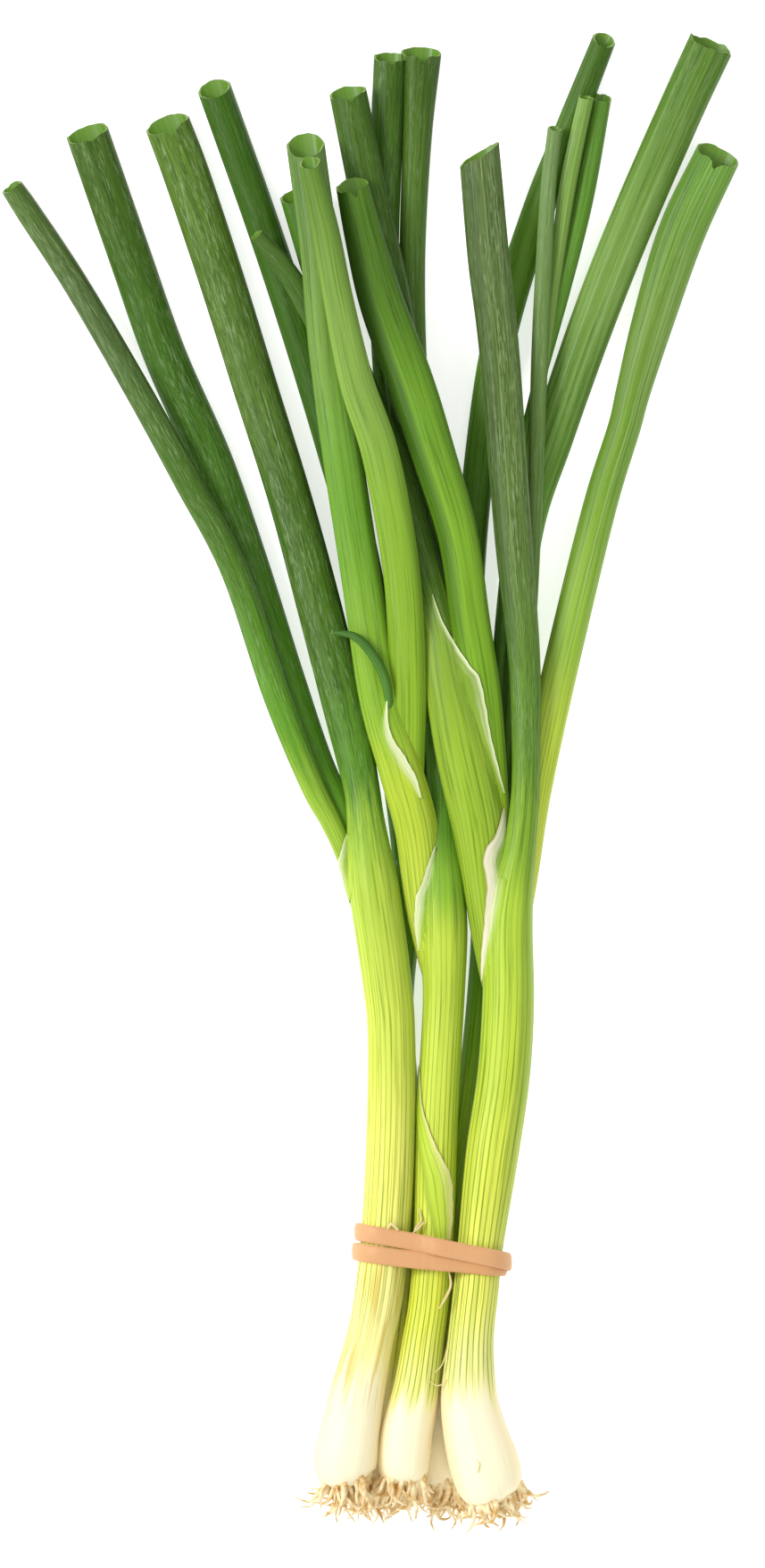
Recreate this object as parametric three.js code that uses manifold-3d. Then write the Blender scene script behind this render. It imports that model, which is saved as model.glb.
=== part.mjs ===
// A bunch of five spring onions, lying down and tied with one rubber band.
// Millimetres. +X runs across the bunch, +Y from the roots to the cut leaf ends, +Z is up.
import * as THREE from 'three';
import { mergeVertices } from 'three/addons/utils/BufferGeometryUtils.js';
import Module from 'manifold-3d';

const wasm = await Module();
wasm.setup();

// Driving dimensions
const CLEARANCE = 0.32;        // gap kept between pieces that touch
const LEAF_WALL = 0.75;        // wall of a hollow leaf at its cut end
const BORE_DEPTH = 11;         // how far the hollow at a cut end is open
const LEAF_SIDES = 10;
const LEAF_ROWS = 12;
const STEM_SIDES = 12;
const ROOT_SIDES = 4;
const ROOTS_PER_ONION = 12;
const ROOT_THICK = 1.3;        // at the basal plate
const ROOT_MIDDLE = 1.15;
const ROOT_TIP = 0.8;
const ROOT_REACH = 9;          // how far the straight roots stand out from the bulb
const ROOT_SPREAD = 8;         // how far the outer ones spread to the side
const RIGHT_ROOT_REACH = 6.2;  // the right bulb stands lower, and its roots are flattened
const DISC_DEPTH = 2;          // the small disc that the roots grow from
const DISC_TAPER = 0.7;
const GOLDEN_ANGLE = 2.4;      // spaces the roots evenly round the disc
const BAND_Y = -106;           // where the rubber band crosses the middle of the bunch
const BAND_MIDDLE = { x: 13.2, z: 11.6 };   // the point that both turns run round
const BAND_WIDTH = 3.3;
const BAND_THICK = 1.0;
const BAND_SLOPE = -0.15;      // the band slants: its right side lies nearer the roots
const BAND_STEPS = 66;
const BAND_SPREAD = 2.3;       // half the distance between the two turns where they lie side by side
const BAND_CROSSING = 0.8;     // how far above the right side the turns cross, in radians
const BAND_CLIMB = [1, 1.5];   // where the first turn climbs on to the second, in radians past the left side
const BAND_LIFT = 1.4 * CLEARANCE;   // free gap between the inner turn and the shafts
const TABLE = [500, 500, 20];  // a block cut away below the bunch, so that nothing dips under z = 0
const TURN_STEP = 0.02;        // step used to find which way the band runs, in radians
const FOLLOW_STEP = 0.002;     // step used to find where a shaft passes under the band

const AXIS = 0;                // radii on a turned blank: its axis, its bore and its outside
const BORE = 0.5;
const OUTSIDE = 1;
const RING = 2;                // middle radius of the ring blank that becomes the band
const UP = new THREE.Vector3(0, 0, 1);

// Colours
const LEAF_DARK = '#47682f';
const LEAF_GREY = '#5b7a4b';
const LEAF_MID = '#4f8a26';
const LEAF_BRIGHT = '#74ad2f';
const LEAF_YELLOW = '#9cc23c';
const SHAFT_GREEN = '#c4d66e';
const ROOT_TAN = '#c9b283';
const BAND_TAN = '#d6955f';

// Routes: [x, y, z, width, thickness] from the foot to the cut end
const stemRoutes = {
  left_onion: [
    [-6, -157.8, 17.4, 6.4, 6.4], [-6.2, -156.6, 17.6, 10.8, 10.8], [-6.4, -154.4, 17.8, 13.4, 13.4],
    [-6, -151.5, 18, 14.5, 14.5], [-5, -145.5, 18, 13.4, 13.4], [-3, -135.5, 17.6, 12, 12],
    [-0.6, -125.4, 17.1, 10.8, 10.8], [1.4, -115.4, 16.8, 11, 11], [3.2, -98, 16.7, 11, 11],
    [4.2, -75, 16.5, 10.9, 10.9], [4.2, -56, 16.3, 10.7, 10.7], [3.2, -45, 16, 11, 11],
    [0.6, -26, 15.3, 11.6, 11.2], [-0.6, -18, 14.8, 11.2, 11], [-1.4, -11.5, 14.4, 8.8, 8.6],
  ],
  middle_onion: [
    [6.8, -157.6, 16, 5.6, 5.6], [6.8, -156.4, 16.1, 9.4, 9.4], [6.9, -154.4, 16.3, 11.2, 11.2],
    [7, -151.5, 16.6, 11.8, 11.8], [7.8, -145.5, 16.8, 11.6, 11.6], [9.8, -136.4, 16.6, 10.4, 10.4],
    [11.4, -125.4, 16.5, 9.4, 9.4], [12.8, -115.4, 16.3, 9.1, 9.1], [13.8, -100, 16.2, 9.1, 9.1],
    [14.4, -78, 15.5, 9.4, 9.4], [15.4, -60, 15.2, 9.2, 9.2], [16, -48, 14.9, 9.4, 9.4],
    [15.8, -34, 14.5, 10.6, 10.4], [15.4, -25.4, 14.3, 10.2, 10], [15.2, -19.5, 14.2, 7.8, 7.6],
  ],
  right_onion: [
    [27.6, -161.4, 16.8, 7.4, 7.4], [27.1, -160, 17.1, 12.4, 12.4], [26.2, -157.2, 17.5, 15, 15],
    [24.8, -152.5, 17.8, 15.6, 15.6], [22.8, -145.4, 17.8, 14.2, 14.2], [21.6, -137.4, 17.3, 12.6, 12.6],
    [22, -125.4, 16.9, 10.4, 10.4], [23.2, -114, 16.6, 10.2, 10.2], [24.2, -104, 16.6, 10.3, 10.3],
    [26.8, -84, 16.4, 11.8, 11.8], [29.4, -66, 15.8, 11.8, 11.8], [30.4, -50, 15.5, 11.6, 11.6],
    [30.4, -34, 15.2, 11.2, 11], [30.8, -24, 15, 11, 10.6], [31.2, -17.5, 14.9, 8.8, 8.4],
  ],
  back_left_onion: [
    [1, -158.4, 5.8, 5.4, 5.4], [1, -157, 5.7, 9, 9], [1, -154.6, 5.6, 11, 11],
    [1.2, -150.5, 5.5, 11.6, 11.6], [2.4, -144, 5.7, 11.2, 11.2], [4.8, -131, 6.2, 10.2, 10.2],
    [6.8, -116, 6.5, 9.6, 9.6], [7.8, -100, 6.6, 9.2, 9.2], [6.6, -78, 6.3, 8.8, 8.8],
    [4.8, -52, 5.8, 8.8, 8.8], [6, -34, 5.3, 9.2, 9.2], [7.4, -23, 5, 9, 9], [8, -16.5, 4.8, 7, 7],
  ],
  back_right_onion: [
    [16.4, -159.2, 6, 5.6, 5.6], [16.4, -157.8, 6, 9.4, 9.4], [16.2, -155.4, 5.9, 11.4, 11.4],
    [16, -151.5, 5.7, 12, 12], [16.4, -144, 5.9, 11.4, 11.4], [17.4, -131, 6.7, 10.2, 10.2],
    [18.4, -116, 7.1, 9.6, 9.6], [19, -104, 7.2, 9.2, 9.2], [21.2, -85, 6.9, 9, 9],
    [24.4, -62, 6, 9, 9], [26.4, -42, 5.5, 9.4, 9.4], [26.6, -28, 5.1, 10, 9.4], [26.4, -21, 4.9, 8, 7.4],
  ],
};

// slant: how much further back the upper rim is cut; skew: how much further out the right rim is cut
const leaves = [
  { name: 'right_onion_front_leaf', colour: LEAF_GREY, slant: 1.5, skew: 4, notch: 0, route: [
    [33.5, -25, 15.4, 4.8, 4], [34, -11, 17, 6, 4.8], [34.5, 5, 17, 6.4, 5], [34, 27, 16.4, 7.2, 5],
    [31.5, 55, 15.2, 8.4, 5], [28.5, 95, 14, 9, 5], [26, 117, 13.8, 9.4, 5], [24, 140, 13.4, 9.2, 5.4]] },
  { name: 'middle_onion_curled_sprout', colour: LEAF_MID, solid: true, route: [
    [4, 15, 18.6, 1.6, 1.6], [3, 22, 20.8, 2.2, 2], [0, 28, 21.8, 2.2, 2], [-4, 32, 21.8, 1.8, 1.8],
    [-9, 33, 20.8, 0.8, 1]] },
  { name: 'middle_onion_front_leaf', colour: LEAF_BRIGHT, slant: 3, skew: 0, notch: 0, route: [
    [8.4, -5, 15.4, 5.2, 3.2], [8, 5, 16, 7, 3.6], [8, 23, 18.2, 8, 4.4], [6.5, 47, 19.4, 8.2, 4.6],
    [2, 72, 21, 8.2, 4.6], [-3.5, 89, 22.4, 7.6, 4.4], [-7.5, 107, 22.8, 6.6, 4.2],
    [-10.5, 123, 22.4, 6, 4], [-14, 138, 21.6, 4.8, 4]] },
  { name: 'right_onion_bright_leaf', colour: LEAF_BRIGHT, slant: 3, skew: 0, notch: 0.8, route: [
    [28, -11, 15.2, 4.8, 3.4], [26.5, 3, 16.4, 7.2, 4.4], [24.5, 19, 17.6, 8.6, 5.2], [22, 35, 18, 8.8, 5.4],
    [19, 55, 17.6, 9, 5.4], [13, 75, 17, 10, 5.4], [8.5, 89, 16.4, 10.4, 5.2], [2, 107, 15.2, 10, 5],
    [-2, 122, 14.4, 8.6, 4.8], [-4.5, 133, 14.2, 7.4, 4.8]] },
  { name: 'left_onion_front_leaf', colour: LEAF_DARK, slant: 2.5, skew: 0, notch: 1.5, route: [
    [-0.5, -22, 15.6, 8, 5], [-1, -13, 16.4, 9.2, 5.6], [-2, -5, 15.8, 8.2, 5.4], [-6, 15, 13.4, 9.6, 5.6],
    [-12, 39, 10.8, 10, 5.8], [-18.5, 63, 8.2, 9.8, 5.8], [-26, 87, 6, 10, 5.8], [-33.5, 111, 4.6, 10.2, 5.8],
    [-41.5, 135, 3.8, 10.4, 5.8], [-46, 147, 3.5, 10.2, 5.8]] },
  { name: 'middle_onion_young_leaf', colour: LEAF_MID, solid: true, route: [
    [-2.5, 57, 17, 2.8, 1.6], [-5.5, 75, 15, 3.6, 1.8], [-9.5, 94, 12.8, 4.4, 1.8],
    [-14.5, 106, 12.3, 5, 1.8], [-20, 115, 12.3, 4.6, 1.8], [-26, 122, 12.3, 3.4, 1.8]] },
  { name: 'middle_onion_left_leaf', colour: LEAF_MID, slant: 5, skew: 0, notch: 0, route: [
    [16, -27, 14.6, 6, 5], [10.5, -11, 15.6, 9.6, 6], [6, 3, 16.6, 9.8, 6], [1.5, 19, 17.2, 9.4, 5.6],
    [-2.5, 45, 17.2, 9, 5.2], [-6.5, 71, 17.2, 9, 5], [-10, 97, 17, 8.8, 5], [-12, 119, 16.6, 8.6, 5.4],
    [-15, 142, 16.2, 8.6, 6]] },
  { name: 'right_onion_wide_leaf', colour: LEAF_DARK, slant: 3, skew: 0, notch: 0, route: [
    [29, -27, 15.2, 6.8, 6], [24, -11, 15.8, 12.4, 7], [20.5, 5, 16.4, 12.4, 7.2], [17.5, 19, 16.4, 11, 6.6],
    [14.5, 35, 15.2, 9.2, 5.4], [10, 51, 13.6, 8.6, 4.8], [4.5, 70, 11.8, 8.4, 4.4], [-2.5, 87, 9.8, 8, 4.4],
    [-9.5, 106, 8.6, 7.6, 4.4], [-17, 131, 8.4, 7.6, 4.6]] },
  { name: 'right_onion_outer_leaf', colour: LEAF_BRIGHT, slant: 3.5, skew: 0, notch: 2.5, route: [
    [35, -22, 13.4, 4.4, 4], [36, -5, 13, 7, 4.8], [39.5, 13, 11.6, 7.8, 5.2], [45.5, 39, 8.6, 7.8, 5.4],
    [51.5, 63, 6, 7.6, 5.4], [56.5, 79, 4.8, 7.4, 5.4], [58.5, 87, 4.2, 7.8, 5.4], [63, 103, 3.4, 9.4, 5.6],
    [69.5, 123, 3, 10.6, 5.8], [77.5, 140, 2.8, 10.2, 5.8]] },
  { name: 'left_onion_thin_leaf', colour: LEAF_GREY, slant: 1.5, skew: 0, notch: 0, route: [
    [-6.5, -22, 13.6, 3.2, 3.4], [-10, -13, 14.2, 4.4, 3.6], [-14.5, -1, 14, 5.4, 4],
    [-21.5, 19, 12.6, 6.2, 4.4], [-31, 47, 10.8, 6.2, 4.4], [-41.5, 67, 10, 6.2, 4.4],
    [-52.5, 87, 8.6, 6, 4.2], [-66.5, 111, 5, 5.8, 4.2], [-77, 127, 3, 5.6, 4.2], [-81, 133, 2.6, 5, 4]] },
  { name: 'left_onion_back_leaf', colour: LEAF_DARK, slant: 3, skew: 0, notch: 1, route: [
    [-5, -19, 11.4, 4, 3.6], [-8, -9, 11, 6, 4], [-13, 3, 9, 7.2, 4.6], [-19.5, 23, 6.5, 8.4, 5],
    [-27.5, 47, 4.6, 9.2, 5.4], [-36, 71, 3.6, 9.6, 5.6], [-46.5, 95, 3.2, 9.6, 5.8],
    [-55, 119, 3, 9.6, 5.8], [-64, 145, 2.8, 9.6, 5.8]] },
  { name: 'middle_onion_back_leaf', colour: LEAF_DARK, slant: 3, skew: 0, notch: 0.8, route: [
    [17, -25, 12.6, 4.4, 3.6], [17, -15, 12.8, 5.6, 4.2], [15.5, 3, 10.6, 6.8, 4.4],
    [13.5, 31, 8.4, 7.6, 4.4], [11, 63, 8, 8.4, 4.4], [7.5, 87, 8.4, 8.6, 4.4],
    [4, 109, 8.8, 8.6, 4.6], [-1, 132, 8.8, 8.6, 5], [-5.5, 154, 8.4, 8.4, 5.4]] },
  { name: 'back_right_onion_slim_leaf', colour: LEAF_GREY, solid: true, route: [
    [28.5, -22, 7.4, 2.4, 2.6], [32, 3, 8.2, 2.8, 2.8], [35, 31, 8.4, 3, 2.8], [36.5, 63, 8.4, 3.4, 3],
    [37.5, 94, 8.6, 3.8, 3], [38.5, 115, 9, 3.8, 3], [39.5, 133, 9.2, 3.4, 3], [41, 146, 9.2, 3, 3]] },
  { name: 'back_right_onion_pale_leaf', colour: LEAF_MID, solid: true, route: [
    [27, -20, 8.6, 2, 2.2], [30, 3, 8.4, 2.2, 2.2], [32, 31, 8, 2.2, 2.4], [34, 63, 7.8, 2.4, 2.4],
    [38.5, 94, 6.6, 2.6, 2.6], [41, 113, 6.4, 3, 2.8], [44, 134, 6.8, 3.8, 3], [48, 153, 7, 3.2, 3]] },
  { name: 'back_right_onion_folded_leaf', colour: LEAF_MID, slant: 2, skew: 0, notch: 0, route: [
    [25.5, -17, 9, 2, 2.2], [27, 3, 8.4, 2.2, 2.2], [29, 31, 7.8, 2.2, 2.4], [31, 63, 7.4, 2.4, 2.4],
    [36, 84, 6.8, 2.6, 2.4], [43, 111, 5, 3.6, 3], [47.5, 131, 4, 4.6, 4], [51.5, 153, 3.4, 4, 4.4]] },
  { name: 'back_right_onion_crossing_leaf', colour: LEAF_MID, slant: 2.5, skew: 0, notch: 0, route: [
    [25, -25, 5, 3.6, 3.6], [23.5, -5, 4, 5.2, 4.2], [22, 23, 3.2, 6, 4.6], [22, 47, 2.8, 6.6, 4.8],
    [24.5, 75, 2.8, 7, 5], [29, 101, 2.9, 7.6, 5], [37, 127, 2.9, 7.2, 5.2], [44.5, 147, 3, 6.2, 5.2],
    [52, 166, 3, 5.4, 5.2]] },
  { name: 'back_right_onion_broad_leaf', colour: LEAF_DARK, slant: 2, skew: 0, notch: 1.5, route: [
    [27, -25, 4.6, 4.4, 4], [28, -5, 3.8, 6.4, 4.4], [30, 19, 3.2, 7.6, 4.6], [34, 55, 3, 8.4, 4.8],
    [40.5, 77, 3, 9.4, 5.2], [49.5, 103, 3, 10, 5.6], [59, 127, 3, 10.2, 5.8], [69.5, 151, 3, 10.2, 6],
    [76, 165, 2.9, 10.4, 6]] },
  { name: 'back_left_onion_long_leaf', colour: LEAF_MID, slant: 3.5, skew: 0, notch: 0, route: [
    [7, -23, 5, 4, 4], [6, -5, 5, 6, 4.6], [2.5, 19, 4.6, 6.8, 5], [-1.5, 47, 4, 7.2, 5],
    [-9, 75, 3.4, 7.6, 5], [-17.5, 103, 3.2, 7.6, 5.4], [-25.5, 127, 3, 7.6, 5.6],
    [-35.5, 155, 2.8, 7.6, 5.8]] },
  { name: 'back_left_onion_dark_leaf', colour: LEAF_DARK, slant: 2, skew: 0, notch: 0.8, route: [
    [8.5, -22, 4.4, 3.2, 3.2], [9, -5, 3.6, 5.2, 3.6], [8, 23, 3, 6.4, 4], [6.5, 55, 2.8, 6.8, 4.2],
    [4, 85, 3, 7, 4.4], [2.5, 115, 3.4, 7, 4.6], [3, 139, 3.6, 7.2, 5], [4, 162, 3.6, 7.4, 5.4]] },
  { name: 'back_left_onion_lobed_leaf', colour: LEAF_MID, slant: 3, skew: 0, notch: 2.5, route: [
    [10, -20, 4.4, 2.8, 3], [13, -1, 3.4, 4, 3.4], [14, 27, 3, 5, 3.6], [12.5, 55, 2.6, 5.2, 3.8],
    [10, 85, 2.8, 5.2, 4], [9, 115, 3.2, 5.6, 4.4], [10, 143, 3.4, 6.4, 4.8], [11, 163, 3.4, 8.8, 5.4]] },
];

// A repeatable draw between 0 and 1
function seededDraw(seed) {
  let state = seed;
  return () => {
    state = (state * 16807) % 2147483647;
    return state / 2147483647;
  };
}

function centreLine(route) {
  const places = route.map(([x, y, z]) => new THREE.Vector3(x, y, z));
  return new THREE.CatmullRomCurve3(places, false, 'centripetal');
}

// Widths and thicknesses along a route, read at the same station as its centre line
function girthLine(route) {
  const stations = route.map(([, , , width, thickness]) => new THREE.Vector2(width, thickness));
  return new THREE.SplineCurve(stations);
}

// A solid turned about its own axis, whose height is the station along a route
function turnedBlank(stations, sides) {
  const profile = [new THREE.Vector2(AXIS, stations[0])];
  for (const station of stations) profile.push(new THREE.Vector2(OUTSIDE, station));
  profile.push(new THREE.Vector2(AXIS, stations[stations.length - 1]));
  return new THREE.LatheGeometry(profile, sides);
}

// The same with an open bore in its far end
function boredBlank(stations, sides, boreStation) {
  const end = stations[stations.length - 1];
  const profile = [new THREE.Vector2(AXIS, stations[0])];
  for (const station of stations) profile.push(new THREE.Vector2(OUTSIDE, station));
  profile.push(new THREE.Vector2(BORE, end));
  profile.push(new THREE.Vector2(BORE, boreStation));
  profile.push(new THREE.Vector2(AXIS, boreStation));
  return new THREE.LatheGeometry(profile, sides);
}

function evenStations(rows) {
  return Array.from({ length: rows + 1 }, (unused, row) => row / rows);
}

// How far the cut rim is shifted along the leaf at one place round it
function rimShift(cut, across, upward) {
  const ragged = 0.35 * Math.sin(3 * Math.atan2(upward, across) + cut.slant);
  const lobes = upward > 0 ? cut.notch * Math.max(0, 1 - 2.5 * Math.abs(across)) : 0;
  return 0.5 * (cut.skew * across - cut.slant * upward) + ragged - lobes;
}

// Lays a turned blank along a route and gives it the route's widths and thicknesses
function laidAlong(blank, route, grow, cut) {
  const line = centreLine(route);
  const girth = girthLine(route);
  const place = blank.attributes.position;
  const side = new THREE.Vector3();
  const top = new THREE.Vector3();
  for (let i = 0; i < place.count; i += 1) {
    const radius = Math.hypot(place.getX(i), place.getZ(i));
    const across = radius > 0 ? place.getX(i) / radius : 0;
    const upward = radius > 0 ? place.getZ(i) / radius : 0;
    const station = place.getY(i);
    const along = line.getTangent(station);
    const size = girth.getPoint(station);
    const inset = radius > (BORE + OUTSIDE) / 2 ? -grow : LEAF_WALL;
    const reach = radius > 0 ? 1 : 0;
    side.crossVectors(along, UP).normalize();
    top.crossVectors(side, along);
    const spot = line.getPoint(station);
    spot.addScaledVector(side, reach * across * (size.x / 2 - inset));
    spot.addScaledVector(top, reach * upward * (size.y / 2 - inset));
    const shift = cut ? rimShift(cut, reach * across, reach * upward) : 0;
    if (station === 1) spot.addScaledVector(along, grow + shift);
    if (station === 0) spot.addScaledVector(along, -grow);
    place.setXYZ(i, spot.x, spot.y, spot.z);
  }
  return blank;
}

function solidOf(geometry) {
  geometry.deleteAttribute('normal');
  geometry.deleteAttribute('uv');
  const merged = mergeVertices(geometry, 1e-5);
  const corners = merged.index.array;
  const kept = [];
  for (let i = 0; i < corners.length; i += 3) {
    const [a, b, c] = [corners[i], corners[i + 1], corners[i + 2]];
    if (a !== b && b !== c && c !== a) kept.push(a, b, c);
  }
  const vertProperties = Float32Array.from(merged.attributes.position.array);
  return new wasm.Manifold(new wasm.Mesh({ numProp: 3, vertProperties, triVerts: Uint32Array.from(kept) }));
}

function geometryOf(solid) {
  const { vertProperties, triVerts } = solid.getMesh();
  const geometry = new THREE.BufferGeometry();
  geometry.setAttribute('position', new THREE.BufferAttribute(Float32Array.from(vertProperties), 3));
  geometry.setIndex(Array.from(triVerts));
  geometry.computeVertexNormals();
  return geometry;
}

// Cutting may leave a loose scrap, which is dropped
function largestPiece(solid) {
  const pieces = solid.decompose();
  return pieces.reduce((best, piece) => (piece.volume() > best.volume() ? piece : best));
}

function stemSolid(route, grow) {
  const rows = evenStations(route.length - 1);
  return solidOf(laidAlong(turnedBlank(rows, STEM_SIDES), route, grow));
}

function leafSolid(leaf, grow) {
  const rows = evenStations(leaf.route.length < 7 ? 8 : LEAF_ROWS);
  const sides = leaf.solid ? 8 : LEAF_SIDES;
  if (leaf.solid) return solidOf(laidAlong(turnedBlank(rows, sides), leaf.route, grow));
  if (grow > 0) return solidOf(laidAlong(turnedBlank(rows, sides), leaf.route, grow, leaf));
  const boreStation = 1 - BORE_DEPTH / centreLine(leaf.route).getLength();
  return solidOf(laidAlong(boredBlank(rows, sides, boreStation), leaf.route, 0, leaf));
}

// Roots spread from a small disc under the bulb; none dips below the table
function rootTuft(route, length, seed, grow) {
  const draw = seededDraw(seed);
  const line = centreLine(route);
  const base = line.getPoint(0);
  const away = line.getTangent(0).multiplyScalar(-1);
  const side = new THREE.Vector3().crossVectors(UP, away).normalize();
  const top = new THREE.Vector3().crossVectors(away, side);
  const at = (distance, radius, angle) => {
    const spot = base.clone().addScaledVector(away, distance);
    spot.addScaledVector(side, radius * Math.cos(angle)).addScaledVector(top, radius * Math.sin(angle));
    spot.z = Math.max(spot.z, ROOT_THICK / 2 + grow + 0.1);
    return [spot.x, spot.y, spot.z];
  };
  const discWidth = route[0][3];
  const discEnd = DISC_TAPER * discWidth;
  const disc = [[...at(CLEARANCE, 0, 0), discWidth, discWidth], [...at(DISC_DEPTH, 0, 0), discEnd, discEnd]];
  let tuft = solidOf(laidAlong(turnedBlank([0, 1], 8), disc, grow));
  for (let i = 0; i < ROOTS_PER_ONION; i += 1) {
    const angle = i * GOLDEN_ANGLE + 0.5 * draw();
    const spread = Math.sqrt((i + 0.5) / ROOTS_PER_ONION);
    const reach = length * (1 - 0.35 * spread * spread) + 1.2 * draw();
    const root = [
      [...at(1.2, 0.3 * discWidth * spread, angle), ROOT_THICK, ROOT_THICK],
      [...at(0.4 * reach, 0.7 * ROOT_SPREAD * spread, angle + 0.1), ROOT_MIDDLE, ROOT_MIDDLE],
      [...at(reach, ROOT_SPREAD * spread, angle + 0.5 * draw() - 0.25), ROOT_TIP, ROOT_TIP],
    ];
    tuft = tuft.add(solidOf(laidAlong(turnedBlank(evenStations(2), ROOT_SIDES), root, grow)));
  }
  return tuft;
}

// Where a stem's axis passes the band, and its radius there
function stemAtBand(route) {
  const line = centreLine(route);
  const girth = girthLine(route);
  let station = 0;
  while (line.getPoint(station).y < BAND_Y) station += FOLLOW_STEP;
  const spot = line.getPoint(station);
  return { x: spot.x, z: spot.z, radius: girth.getPoint(station).x / 2 };
}

// The band's distance from the middle of the bunch: a string pulled tight round the five stems
function tightRadius(stems, angle) {
  let radius = Infinity;
  for (let lean = -85; lean <= 85; lean += 2.5) {
    const facing = angle + THREE.MathUtils.degToRad(lean);
    const reach = stems.map(({ x, z, radius: stemRadius }) => (
      (x - BAND_MIDDLE.x) * Math.cos(facing) + (z - BAND_MIDDLE.z) * Math.sin(facing) + stemRadius));
    radius = Math.min(radius, Math.max(...reach) / Math.cos(facing - angle));
  }
  return radius;
}

// One loop wound twice: the first turn lies on the second except at the left, where they part
function rubberBand() {
  const stems = Object.values(stemRoutes).map(stemAtBand);
  const blank = new THREE.TorusGeometry(RING, 1, 6, BAND_STEPS);
  const place = blank.attributes.position;
  const lineAt = (turn) => {
    const angle = turn + Math.PI;
    const phase = THREE.MathUtils.euclideanModulo(turn - BAND_CROSSING, 4 * Math.PI);
    const over = THREE.MathUtils.smoothstep(Math.PI - Math.abs(phase - Math.PI), ...BAND_CLIMB);
    const lift = BAND_LIFT + BAND_THICK / 2 + over * (BAND_THICK + CLEARANCE);
    const radius = tightRadius(stems, angle) + lift;
    const x = BAND_MIDDLE.x + radius * Math.cos(angle);
    const z = BAND_MIDDLE.z + radius * Math.sin(angle);
    const y = BAND_Y + BAND_SLOPE * (x - BAND_MIDDLE.x) + BAND_SPREAD * Math.cos(phase / 2);
    return new THREE.Vector3(x, y, z);
  };
  const around = new THREE.Vector3();
  const outward = new THREE.Vector3();
  for (let i = 0; i < place.count; i += 1) {
    const x = place.getX(i);
    const y = place.getY(i);
    const turn = ((Math.atan2(y, x) + 2 * Math.PI) % (2 * Math.PI)) * 2;
    around.subVectors(lineAt(turn + TURN_STEP), lineAt(turn - TURN_STEP)).setY(0).normalize();
    outward.set(around.z, 0, -around.x);
    const spot = lineAt(turn);
    spot.addScaledVector(outward, (Math.hypot(x, y) - RING) * BAND_THICK / 2);
    spot.y -= place.getZ(i) * BAND_WIDTH / 2;
    place.setXYZ(i, spot.x, spot.y, spot.z);
  }
  return solidOf(blank);
}

// Each piece is cut back from the ones already placed, so that all of them lie clear of each other
const bunch = new THREE.Group();
const placed = [];
const table = solidOf(new THREE.BoxGeometry(...TABLE).translate(0, 0, -TABLE[2] / 2));

function addPiece(name, colour, roughness, solid, grown) {
  const room = solid.boundingBox();
  let clear = solid.subtract(table);
  for (const other of placed) {
    const apart = [0, 1, 2].some((axis) => (
      room.max[axis] < other.room.min[axis] || room.min[axis] > other.room.max[axis]));
    if (!apart) clear = clear.subtract(other.grown);
  }
  const piece = largestPiece(clear);
  const material = new THREE.MeshStandardMaterial({ color: colour, roughness, metalness: 0 });
  const mesh = new THREE.Mesh(geometryOf(piece), material);
  mesh.name = name;
  bunch.add(mesh);
  placed.push({ grown, room: grown.boundingBox() });
}

for (const leaf of leaves) {
  addPiece(leaf.name, leaf.colour, 0.5, leafSolid(leaf, 0), leafSolid(leaf, CLEARANCE));
}
for (const [onion, route] of Object.entries(stemRoutes)) {
  addPiece(`${onion}_stem`, SHAFT_GREEN, 0.45, stemSolid(route, 0), stemSolid(route, CLEARANCE));
}
Object.entries(stemRoutes).forEach(([onion, route], index) => {
  const seed = 11 + 7 * index;
  const length = onion === 'right_onion' ? RIGHT_ROOT_REACH : ROOT_REACH;
  const grown = rootTuft(route, length, seed, CLEARANCE);
  addPiece(`${onion}_roots`, ROOT_TAN, 0.8, rootTuft(route, length, seed, 0), grown);
});
const band = rubberBand();
addPiece('rubber_band', BAND_TAN, 0.55, band, band);

export default bunch;
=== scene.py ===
import bisect
import math
import random

import bpy
from mathutils import Matrix, Vector


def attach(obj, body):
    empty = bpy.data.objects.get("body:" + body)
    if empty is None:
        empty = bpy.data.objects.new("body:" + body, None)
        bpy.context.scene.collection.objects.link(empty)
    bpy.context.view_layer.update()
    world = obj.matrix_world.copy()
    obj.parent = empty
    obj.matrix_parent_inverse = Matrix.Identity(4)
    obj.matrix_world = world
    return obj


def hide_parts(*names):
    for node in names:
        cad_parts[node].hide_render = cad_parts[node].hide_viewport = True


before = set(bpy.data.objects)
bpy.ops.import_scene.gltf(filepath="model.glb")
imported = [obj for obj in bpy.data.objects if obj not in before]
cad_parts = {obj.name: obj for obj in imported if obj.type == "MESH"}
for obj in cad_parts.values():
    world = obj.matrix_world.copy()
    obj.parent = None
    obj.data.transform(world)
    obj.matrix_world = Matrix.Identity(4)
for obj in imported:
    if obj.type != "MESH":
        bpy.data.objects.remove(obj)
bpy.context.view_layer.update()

MM = 0.001
CM = 10  # millimetres in a centimetre

# ---------------- camera, floor and light

CAMERA_LENS = 600
SENSOR = 36
PICTURE_HEIGHT = 351.2 * MM  # what the camera sees from top to bottom at the height of the shafts
FOCUS = Vector((2.3, -1.0, 15)) * MM


def add_camera():
    distance = PICTURE_HEIGHT * CAMERA_LENS / SENSOR
    bpy.ops.object.camera_add(location=FOCUS + Vector((0, 0, distance)), rotation=(0, 0, 0))
    camera = bpy.context.object
    camera.name = "camera"
    camera.data.lens = CAMERA_LENS
    camera.data.sensor_fit = "VERTICAL"
    camera.data.sensor_height = SENSOR
    camera.data.clip_start = 0.05
    bpy.context.scene.camera = camera


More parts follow.
